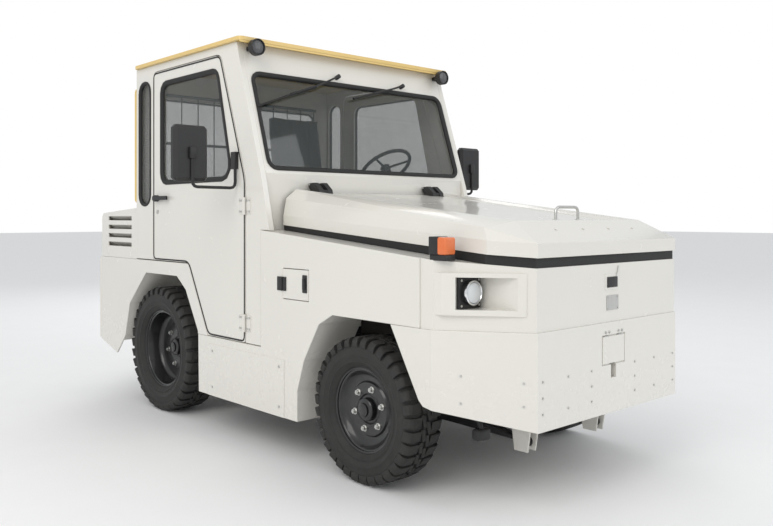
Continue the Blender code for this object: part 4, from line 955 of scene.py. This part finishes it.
class TUG_OT_hood(bpy.types.Operator):
    """Lift handle, bolts and hinge pins of the hood"""
    bl_idname = "tug.hood"
    bl_label = "Hood fittings"

    def execute(self, context):
        y = fy(0.262)
        well = 1.2965
        pipe("hood_handle", [(-0.095, y, well), (-0.095, y, well + 0.066), (0.095, y, well + 0.066),
                             (0.095, y, well)], 0.0075, "steel", "hood", 0.03)
        bm = bmesh.new()
        for x in (-0.095, 0.095):
            rod(bm, (x, y, well - 0.001), (x, y, well + 0.006), 0.016, 20)
        piece_from("hood_handle_feet", bm, "steel", "hood")
        facet = Vector((0, -0.481, 0.877)).normalized()
        spots = [Vector((x, fy(0.098), 1.2555)) for x in (-0.33, -0.11, 0.11, 0.33)]
        bolts("hood_bolts", [s + facet * 0.0006 for s in spots], facet, "cream", "hood", 0.006)
        for side, label in SIDES:
            low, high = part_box(f"hood_hinge_{label}")
            bm = rod(bmesh.new(), (low.x - 0.003, high.y - 0.010, high.z - 0.010),
                     (high.x + 0.003, high.y - 0.010, high.z - 0.010), 0.0055, 12)
            piece_from(f"hood_pin_{label}", bm, "steel", "hood")
        return {"FINISHED"}


# ---------------------------------------------------------------- cab outside
class TUG_OT_cab(bpy.types.Operator):
    """Wipers, roof lamps, mirrors, hinges and the grab bar of the cab"""
    bl_idname = "tug.cab"
    bl_label = "Cab fittings"

    def execute(self, context):
        self.wipers()
        for side, label in SIDES:
            self.roof_lamp(side, label)
            self.mirror_face(side, label)
            self.hinge_screws(side, label)
            self.handle_lock(side, label)
        self.gutter()
        self.grab_bar()
        return {"FINISHED"}

    @staticmethod
    def on_screen(x, z, stand):
        """A point off the plane of the windscreen."""
        slope = (1.912 - 1.684) / (2.224 - 1.524)
        d = 1.684 + slope * (z - 1.524)
        out = Vector((0, -1, slope)).normalized()
        return Vector((x, fy(d), z)) + out * stand

    def wipers(self):
        for number, (pivot, reach, drop) in enumerate(((-0.14, -0.66, 0.25), (0.43, -0.47, 0.13))):
            self.wiper(number, pivot, reach, drop)

    def wiper(self, number, pivot, reach, drop, head=2.196):
        """An arm from a hub over the windscreen, with its blade lying on the glass."""
        p = self.on_screen
        hub = p(pivot, head, 0.001)
        bm = bmesh.new()
        rod(bm, hub, p(pivot, head, 0.034), 0.014, 20)
        piece_from(f"wiper_hub_{number}", bm, "plastic", "body")
        pipe(f"wiper_arm_{number}", [p(pivot, head, 0.034),
                                     p(pivot + reach * 0.25, head - drop * 0.30, 0.040),
                                     p(pivot + reach * 0.62, head - drop * 0.62, 0.022)],
             0.0062, "plastic", "body", 0.03)
        pipe(f"wiper_blade_{number}", [p(pivot + reach * 0.30, head - drop * 0.36, 0.021),
                                       p(pivot + reach * 0.62, head - drop * 0.64, 0.018),
                                       p(pivot + reach, head - drop, 0.014)],
             0.0070, "rubber", "body", 0.05)

    def roof_lamp(self, side, label):
        low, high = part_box(f"roof_lamp_{label}")
        x, z = (low.x + high.x) / 2, (low.z + high.z) / 2
        bm = turned(bmesh.new(), [(0.0, 0.0005), (0.041, 0.0005), (0.041, 0.003), (0.030, 0.008),
                                  (0.014, 0.0105), (0.0, 0.011)],
                    (x, low.y + 0.0006, z), (0, -1, 0), 36)
        piece_from(f"roof_lamp_lens_{label}", bm, "smoked", "body")
        bm = turned(bmesh.new(), [(0.042, -0.006), (0.0485, -0.006), (0.0485, 0.008),
                                  (0.0455, 0.011), (0.042, 0.008)],
                    (x, low.y + 0.0006, z), (0, -1, 0), 36, closed=True)
        piece_from(f"roof_lamp_rim_{label}", bm, "plastic", "body")
        bm = turned(bmesh.new(), [(0.0, -0.066), (0.020, -0.064), (0.030, -0.052), (0.036, -0.040),
                                  (0.0485, -0.030), (0.0485, -0.006), (0.0, -0.006)],
                    (x, low.y + 0.0006, z), (0, -1, 0), 36)
        piece_from(f"roof_lamp_shell_{label}", bm, "plastic", "body")

    def mirror_face(self, side, label):
        low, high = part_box(f"mirror_{label}")
        x = side * 1.172
        bm = block(bmesh.new(), (x - 0.088, x + 0.088), (high.y - 0.001, high.y + 0.0012),
                   (1.667 - 0.135, 1.667 + 0.135), 0.0008, 1)
        piece_from(f"mirror_glass_{label}", bm, "mirror", f"{label}_door")
        bm = block(bmesh.new(), (x - 0.020, x + 0.020), (low.y - 0.004, low.y + 0.020),
                   (1.635, 1.700), 0.006)
        piece_from(f"mirror_clamp_{label}", bm, "plastic", f"{label}_door")

    def hinge_screws(self, side, label):
        for body, near, far, part in (("body", 1.798, 1.822, "fixed"),
                                      (f"{label}_door", 1.872, 1.893, "moving")):
            face = side * (SIDE + (0.0062 if part == "fixed" else 0.0072))
            places = [(face, fy(d), z + dz) for z in (0.704, 1.375) for dz in (-0.032, 0.032)
                      for d in (near, far)]
            bolts(f"{part}_hinge_screws_{label}", places, (side, 0, 0), "steel", body, 0.0062)

    def handle_lock(self, side, label):
        face = side * (SIDE + SEAT_GAP)
        bm = rod(bmesh.new(), (face, fy(2.905), 1.345), (face + side * 0.006, fy(2.905), 1.345),
                 0.012, 24)
        piece_from(f"door_lock_{label}", bm, "steel", f"{label}_door")

    def gutter(self):
        """Rain lip across the cab front, above the wipers."""
        bm = bmesh.new()
        low = ROOF[0].z - 0.014
        block(bm, (ROOF[0].x + 0.004, ROOF[1].x - 0.004), (ROOF[0].y + 0.002, ROOF[0].y + 0.006),
              (low, ROOF[0].z - 0.0004), 0.001, 1)
        piece_from("roof_front_lip", bm, "roof", "body")

    def grab_bar(self):
        """Yellow grab bar at each rear corner of the cab."""
        for side, label in SIDES:
            x = side * (SIDE - 0.020)
            y = CAB_REAR + 0.042
            pipe(f"rear_grab_bar_{label}", [(x, CAB_REAR + 0.001, 1.420), (x, y, 1.420),
                                            (x, y, 2.200), (x, CAB_REAR + 0.001, 2.200)],
                 0.012, "roof", "body", 0.03)


# ---------------------------------------------------------------- sides and rear
class TUG_OT_sides(bpy.types.Operator):
    """Fuel hatch fittings, skirt panels, louvre blades and rear lamps"""
    bl_idname = "tug.sides"
    bl_label = "Side and rear fittings"

    def execute(self, context):
        self.hatch()
        for side, label in SIDES:
            self.skirt(side, label)
            self.louvres(side, label)
            self.rear_lamp(side, label)
        return {"FINISHED"}

    def hatch(self):
        low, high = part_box("fuel_hatch")
        face = -SIDE - SEAT_GAP
        bm = bmesh.new()
        block(bm, (face - 0.006, face), (high.y - 0.034, high.y - 0.001), (0.915, 0.990), 0.002)
        rod(bm, (face - 0.006, high.y + 0.0006, 0.915), (face - 0.006, high.y + 0.0006, 0.990), 0.006)
        piece_from("hatch_hinge_moving", bm, "plastic", "fuel_hatch")
        bm = block(bmesh.new(), (face - 0.006, face), (high.y + 0.007, high.y + 0.045),
                   (0.915, 0.990), 0.002)
        piece_from("hatch_hinge_fixed", bm, "plastic", "body")
        bm = bmesh.new()
        block(bm, (face - 0.005, face), (low.y + 0.008, low.y + 0.046), (0.915, 1.008), 0.003)
        block(bm, (face - 0.013, face - 0.004), (low.y + 0.016, low.y + 0.038),
              (0.930, 0.992), 0.004)
        piece_from("hatch_latch", bm, "plastic", "fuel_hatch")

    def skirt(self, side, label):
        face = side * (SIDE + SEAT_GAP)
        skin = side * (SIDE + 0.0024)
        low, high = sorted((face, skin))
        bm = block(bmesh.new(), (low, high), (fy(1.470), fy(2.262)), (0.2275, 0.540), 0.0008, 1)
        piece_from(f"skirt_panel_{label}", bm, "cream", "body")
        places = [(skin, fy(d), z) for d in (1.515, 2.205) for z in (0.282, 0.500)]
        bolts(f"skirt_screws_{label}", places, (side, 0, 0), "steel", "body", 0.007)

    def louvres(self, side, label):
        """Sloped blades behind the slots of the rear cover."""
        low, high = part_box("rear_cover")
        bm = bmesh.new()
        x = sorted((side * (SIDE - 0.0125), side * (SIDE - 0.0525)))
        block(bm, x, (CAB_REAR + 0.070, high.y - 0.100), (0, 0.0015), 0.0)
        slope = -side * math.radians(38)
        centre = Vector((sum(x) / 2, 0, 0))
        bmesh.ops.rotate(bm, cent=centre, matrix=Matrix.Rotation(slope, 3, "Y"), verts=bm.verts)
        grown(f"louvre_blades_{label}", bm, "row", {"Count": 4, "Step": (0.0, 0.0, 0.062)},
              "cream", "body", (0, 0, 1.118))

    def rear_lamp(self, side, label):
        x = sorted((side * 0.700, side * 0.830))
        face = TAIL + SEAT_GAP
        bm = block(bmesh.new(), x, (face, face + 0.012), (0.840, 0.960), 0.006)
        piece_from(f"rear_lamp_shell_{label}", bm, "plastic", "body")
        bm = block(bmesh.new(), (x[0] + 0.010, x[1] - 0.010), (face + 0.0122, face + 0.030),
                   (0.850, 0.950), 0.006, 3)
        piece_from(f"rear_lamp_lens_{label}", bm, "amber", "body")


# ---------------------------------------------------------------- inside the cab
class TUG_OT_inside(bpy.types.Operator):
    """Seat, wheel, levers, guard bars and the grab handle"""
    bl_idname = "tug.inside"
    bl_label = "Cab inside"

    def execute(self, context):
        trim = context.scene.tug_trim
        self.seat()
        self.wheel()
        self.dash()
        self.guard(trim)
        self.handles()
        return {"FINISHED"}

    def seat(self):
        """Crowned cushion and backrest with sewn channels."""
        for node, crown, axis in (("seat_cushion", 0.030, 2), ("seat_backrest", 0.028, 1)):
            low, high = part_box(node)
            bm = bmesh.new()
            bm.from_mesh(NODES[node].data)
            bmesh.ops.remove_doubles(bm, verts=bm.verts, dist=1e-5)
            bmesh.ops.dissolve_limit(bm, angle_limit=math.radians(1), verts=bm.verts,
                                     edges=bm.edges)
            bmesh.ops.triangulate(bm, faces=bm.faces)
            piece = piece_from(node + "_pad", bm, "vinyl", "body", (node,), 60.0)
            self.pad(piece, low, high)

    def pad(self, piece, low, high):
        """Remesh, round and quilt the shape; then let cloth swell it."""
        remesh = piece.modifiers.new("even", "REMESH")
        remesh.mode = "VOXEL"
        remesh.voxel_size = 0.006
        soft = piece.modifiers.new("soft", "SMOOTH")
        soft.factor = 0.5
        soft.iterations = 14
        self.settle(piece)
        self.swell(piece)
        fine = piece.modifiers.new("fine", "SMOOTH")
        fine.factor = 0.4
        fine.iterations = 3
        self.settle(piece)
        self.channels(piece, low, high)
        piece.data.shade_smooth()

    @staticmethod
    def settle(piece):
        graph = bpy.context.evaluated_depsgraph_get()
        graph.update()
        mesh = bpy.data.meshes.new_from_object(piece.evaluated_get(graph), depsgraph=graph)
        piece.modifiers.clear()
        old = piece.data
        piece.data = mesh
        bpy.data.meshes.remove(old)
        piece.data.materials.clear()
        piece.data.materials.append(FINISH["vinyl"])

    def swell(self, piece, cap=0.012):
        scene = bpy.context.scene
        rest = [v.co.copy() for v in piece.data.vertices]
        cloth = piece.modifiers.new("cloth", "CLOTH")
        cloth.settings.use_pressure = True
        cloth.settings.uniform_pressure_force = 4.0
        cloth.settings.effector_weights.gravity = 0.0
        cloth.settings.tension_stiffness = 20
        cloth.point_cache.frame_start, cloth.point_cache.frame_end = 1, 20
        for number in range(1, 21):
            scene.frame_set(number)
        graph = bpy.context.evaluated_depsgraph_get()
        moved = bpy.data.meshes.new_from_object(piece.evaluated_get(graph), depsgraph=graph)
        piece.modifiers.clear()
        for vert, start, end in zip(piece.data.vertices, rest, moved.vertices):
            step = end.co - start
            vert.co = start + step * min(1.0, cap / max(step.length, 1e-9))
        bpy.data.meshes.remove(moved)
        scene.frame_set(1)

    @staticmethod
    def channels(piece, low, high):
        """Sewn channels across the pad, and the cap at its CAD box."""
        seams = (-0.090, 0.090)
        centre = (low.x + high.x) / 2
        for vert in piece.data.vertices:
            across = vert.co.x - centre
            for seam in seams:
                near = abs(across - seam) / 0.012
                if near < 2.5:
                    inward = -vert.normal * 0.007 * math.exp(-near * near)
                    vert.co += inward
            for axis in range(3):
                vert.co[axis] = min(max(vert.co[axis], low[axis] + 0.0004), high[axis] - 0.0004)

    def wheel(self):
        """Steering wheel rim with finger grips, spokes and boss."""
        low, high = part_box("steering_wheel")
        centre = (low + high) / 2
        axis = Vector((0, math.sin(math.radians(38)), math.cos(math.radians(38))))
        across = Vector((1, 0, 0))
        up = axis.cross(across)
        bm = bmesh.new()
        steps, around, radius = 96, 12, 0.187
        rings = []
        for step in range(steps):
            turn = 2 * math.pi * step / steps
            out = across * math.cos(turn) + up * math.sin(turn)
            thick = 0.0125 + 0.0010 * math.cos(turn * 24)
            rings.append([bm.verts.new(centre + out * (radius + thick * math.cos(a))
                                       + axis * thick * math.sin(a))
                          for a in (2 * math.pi * k / around for k in range(around))])
        faces = []
        for step in range(steps):
            here, there = rings[step], rings[(step + 1) % steps]
            for k in range(around):
                faces.append(bm.faces.new((here[k], there[k], there[(k + 1) % around],
                                           here[(k + 1) % around])))
        bmesh.ops.recalc_face_normals(bm, faces=faces)
        turned(bm, [(0.0, -0.018), (0.032, -0.018), (0.036, -0.010), (0.034, 0.012),
                    (0.024, 0.019), (0.0, 0.020)], centre, axis, 32)
        for number in range(3):
            turn = math.radians(90 + 120 * number)
            out = across * math.cos(turn) + up * math.sin(turn)
            rod(bm, centre + out * 0.025, centre + out * 0.186, 0.0085, 12, 0.0075)
        piece_from("steering_wheel_rim", bm, "plastic", "steering_wheel", ("steering_wheel",))

    def dash(self):
        """Gauges, switches and two levers beside the column."""
        bm = bmesh.new()
        slope = Vector((0, 0.305, 0.952))
        for number, x in enumerate((0.300, 0.430, 0.560)):
            turned(bm, [(0.0, 0.001), (0.046, 0.001), (0.046, 0.009), (0.040, 0.012),
                        (0.038, 0.006), (0.0, 0.006)], (x, fy(1.862), 1.5285), slope, 32)
        piece_from("gauges", bm, "plastic", "body")
        bm = block(bmesh.new(), (-0.012, 0.012), (fy(1.905), fy(1.927)), (1.5095, 1.5215), 0.003)
        grown("dash_switches", bm, "row", {"Count": 7, "Step": (0.034, 0.0, 0.0)}, "plastic",
              "body", (-0.070, 0, 0))
        for number, x in enumerate((0.345, 0.515)):
            side = -1 if number == 0 else 1
            pipe(f"column_lever_{number}", [(x + side * -0.055, fy(1.985), 1.560),
                                            (x + side * 0.060, fy(1.985), 1.600)], 0.006,
                 "plastic", "body", 0.01)

    def guard(self, trim):
        """Bars inside the rear window that keep loads out of the cab."""
        low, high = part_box("rear_window")
        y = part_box("cab_rear")[0].y - 0.016
        inner = 0.030
        span = high.x - low.x - 2 * inner
        bm = rod(bmesh.new(), (low.x + inner, y, low.z - 0.030), (low.x + inner, y, high.z + 0.030),
                 trim.wire, 10)
        grown("rear_guard_bars", bm, "row",
              {"Count": trim.bars, "Step": (span / (trim.bars - 1), 0.0, 0.0)}, "plastic", "body")
        bm = bmesh.new()
        for z in (low.z - 0.030, (low.z + high.z) / 2, high.z + 0.030):
            block(bm, (low.x, high.x), (y + 0.0045, y + 0.0085), (z - 0.010, z + 0.010), 0.001, 1)
        for x in (low.x + 0.06, high.x - 0.06):
            for z in (low.z - 0.030, high.z + 0.030):
                rod(bm, (x, y + 0.006, z), (x, y + 0.0158, z), 0.008, 12)
        piece_from("rear_guard_frame", bm, "plastic", "body")

    def handles(self):
        inner = SIDE - 0.035
        for side, label in SIDES:
            x = side * (inner - 0.045)
            wall = side * (inner - 0.0006)
            pipe(f"pillar_handle_{label}", [(wall, fy(1.985), 2.285), (x, fy(1.985), 2.285),
                                            (x, fy(2.300), 2.285), (wall, fy(2.300), 2.285)],
                 0.010, "liner", "body", 0.03)


# ---------------------------------------------------------------- stage
class TUG_OT_stage(bpy.types.Operator):
    """Camera, floor and soft studio light"""
    bl_idname = "tug.stage"
    bl_label = "Stage"

    def execute(self, context):
        settings = context.scene.tug_stage
        scene = context.scene
        scene.view_settings.view_transform = "Standard"
        camera = bpy.data.objects.new("camera", bpy.data.cameras.new("camera"))
        scene.collection.objects.link(camera)
        camera.data.lens = 37.83
        camera.data.sensor_width = 36.0
        camera.data.shift_x = 0.0218
        camera.data.shift_y = -0.0614
        camera.location = (-3.4477, -4.0963, 1.3203)
        camera.rotation_euler = (math.radians(90), 0, math.radians(-41.97))
        scene.camera = camera
        self.floor()
        self.lights(settings)
        return {"FINISHED"}

    def floor(self):
        material, tree, shader = new_material("studio floor")
        speck = noise(tree, 3.0, 3.0)
        feed(tree, shader, "Base Color", blend_colour(tree, speck, (0.88, 0.88, 0.88, 1),
                                                      (0.91, 0.91, 0.91, 1)))
        shader.inputs["Roughness"].default_value = 0.85
        bm = bmesh.new()
        bmesh.ops.create_grid(bm, x_segments=1, y_segments=1, size=60.0)
        mesh = bpy.data.meshes.new("floor")
        bm.to_mesh(mesh)
        bm.free()
        mesh.materials.append(material)
        floor = bpy.data.objects.new("floor", mesh)
        bpy.context.scene.collection.objects.link(floor)

    def lights(self, settings):
        aim = Vector((0, 0, 1.0))
        for name, place, size, power, colour in (
                ("key", (-6.5, -3.0, 6.0), 5.0, settings.key, (1.0, 0.975, 0.94)),
                ("fill", (3.5, -8.0, 5.0), 5.0, settings.fill, (0.95, 0.975, 1.0)),
                ("back", (4.0, 7.0, 6.0), 5.0, settings.fill, (1.0, 1.0, 1.0))):
            data = bpy.data.lights.new(name, "AREA")
            data.size = size
            data.energy = power
            data.color = colour
            lamp = bpy.data.objects.new(name, data)
            lamp.location = place
            lamp.rotation_euler = (aim - Vector(place)).to_track_quat("-Z", "Y").to_euler()
            bpy.context.scene.collection.objects.link(lamp)
        world = bpy.data.worlds.new("studio")
        bpy.context.scene.world = world
        world.use_nodes = True
        tree = Tree(world.node_tree)
        background = world.node_tree.nodes["Background"]
        background.inputs["Color"].default_value = (0.97, 0.985, 1.0, 1.0)
        background.inputs["Strength"].default_value = settings.sky
        seen = tree.add("ShaderNodeBackground", None, {"Color": (1, 1, 1, 1), "Strength": 1.0})
        ray = tree.add("ShaderNodeLightPath")
        mix = world.node_tree.nodes.new("ShaderNodeMixShader")
        world.node_tree.links.new(ray.output, mix.inputs[0])
        world.node_tree.links.new(background.outputs[0], mix.inputs[1])
        world.node_tree.links.new(seen.output, mix.inputs[2])
        world.node_tree.links.new(mix.outputs[0], world.node_tree.nodes["World Output"].inputs[0])


OPERATORS = (TUG_OT_stage, TUG_OT_panels, TUG_OT_tyres, TUG_OT_rims, TUG_OT_seals, TUG_OT_front,
             TUG_OT_hood, TUG_OT_cab, TUG_OT_sides, TUG_OT_inside)


class TUG_PT_panel(bpy.types.Panel):
    """The tug's pieces and settings"""
    bl_idname = "TUG_PT_panel"
    bl_label = "Baggage tug"
    bl_space_type = "VIEW_3D"
    bl_region_type = "UI"
    bl_category = "Tug"

    def draw(self, context):
        for operator in OPERATORS:
            self.layout.operator(operator.bl_idname)
        for name, group in GROUPS:
            box = self.layout.box()
            settings = getattr(context.scene, name)
            for prop in group.__annotations__:
                box.prop(settings, prop)


def register():
    for name, group in GROUPS:
        bpy.utils.register_class(group)
        setattr(bpy.types.Scene, name, PointerProperty(type=group))
    for cls in (*OPERATORS, TUG_PT_panel):
        bpy.utils.register_class(cls)


def unregister():
    for cls in (TUG_PT_panel, *reversed(OPERATORS)):
        bpy.utils.unregister_class(cls)
    for name, group in reversed(GROUPS):
        delattr(bpy.types.Scene, name)
        bpy.utils.unregister_class(group)


def main():
    register()
    make_finishes(bpy.context.scene.tug_paint)
    TREES.update(ring=ring_tree(), row=row_tree(), bolts=bolt_tree())
    for operator in OPERATORS:
        group, name = operator.bl_idname.split(".")
        getattr(getattr(bpy.ops, group), name)()


if __name__ == "__main__":
    main()
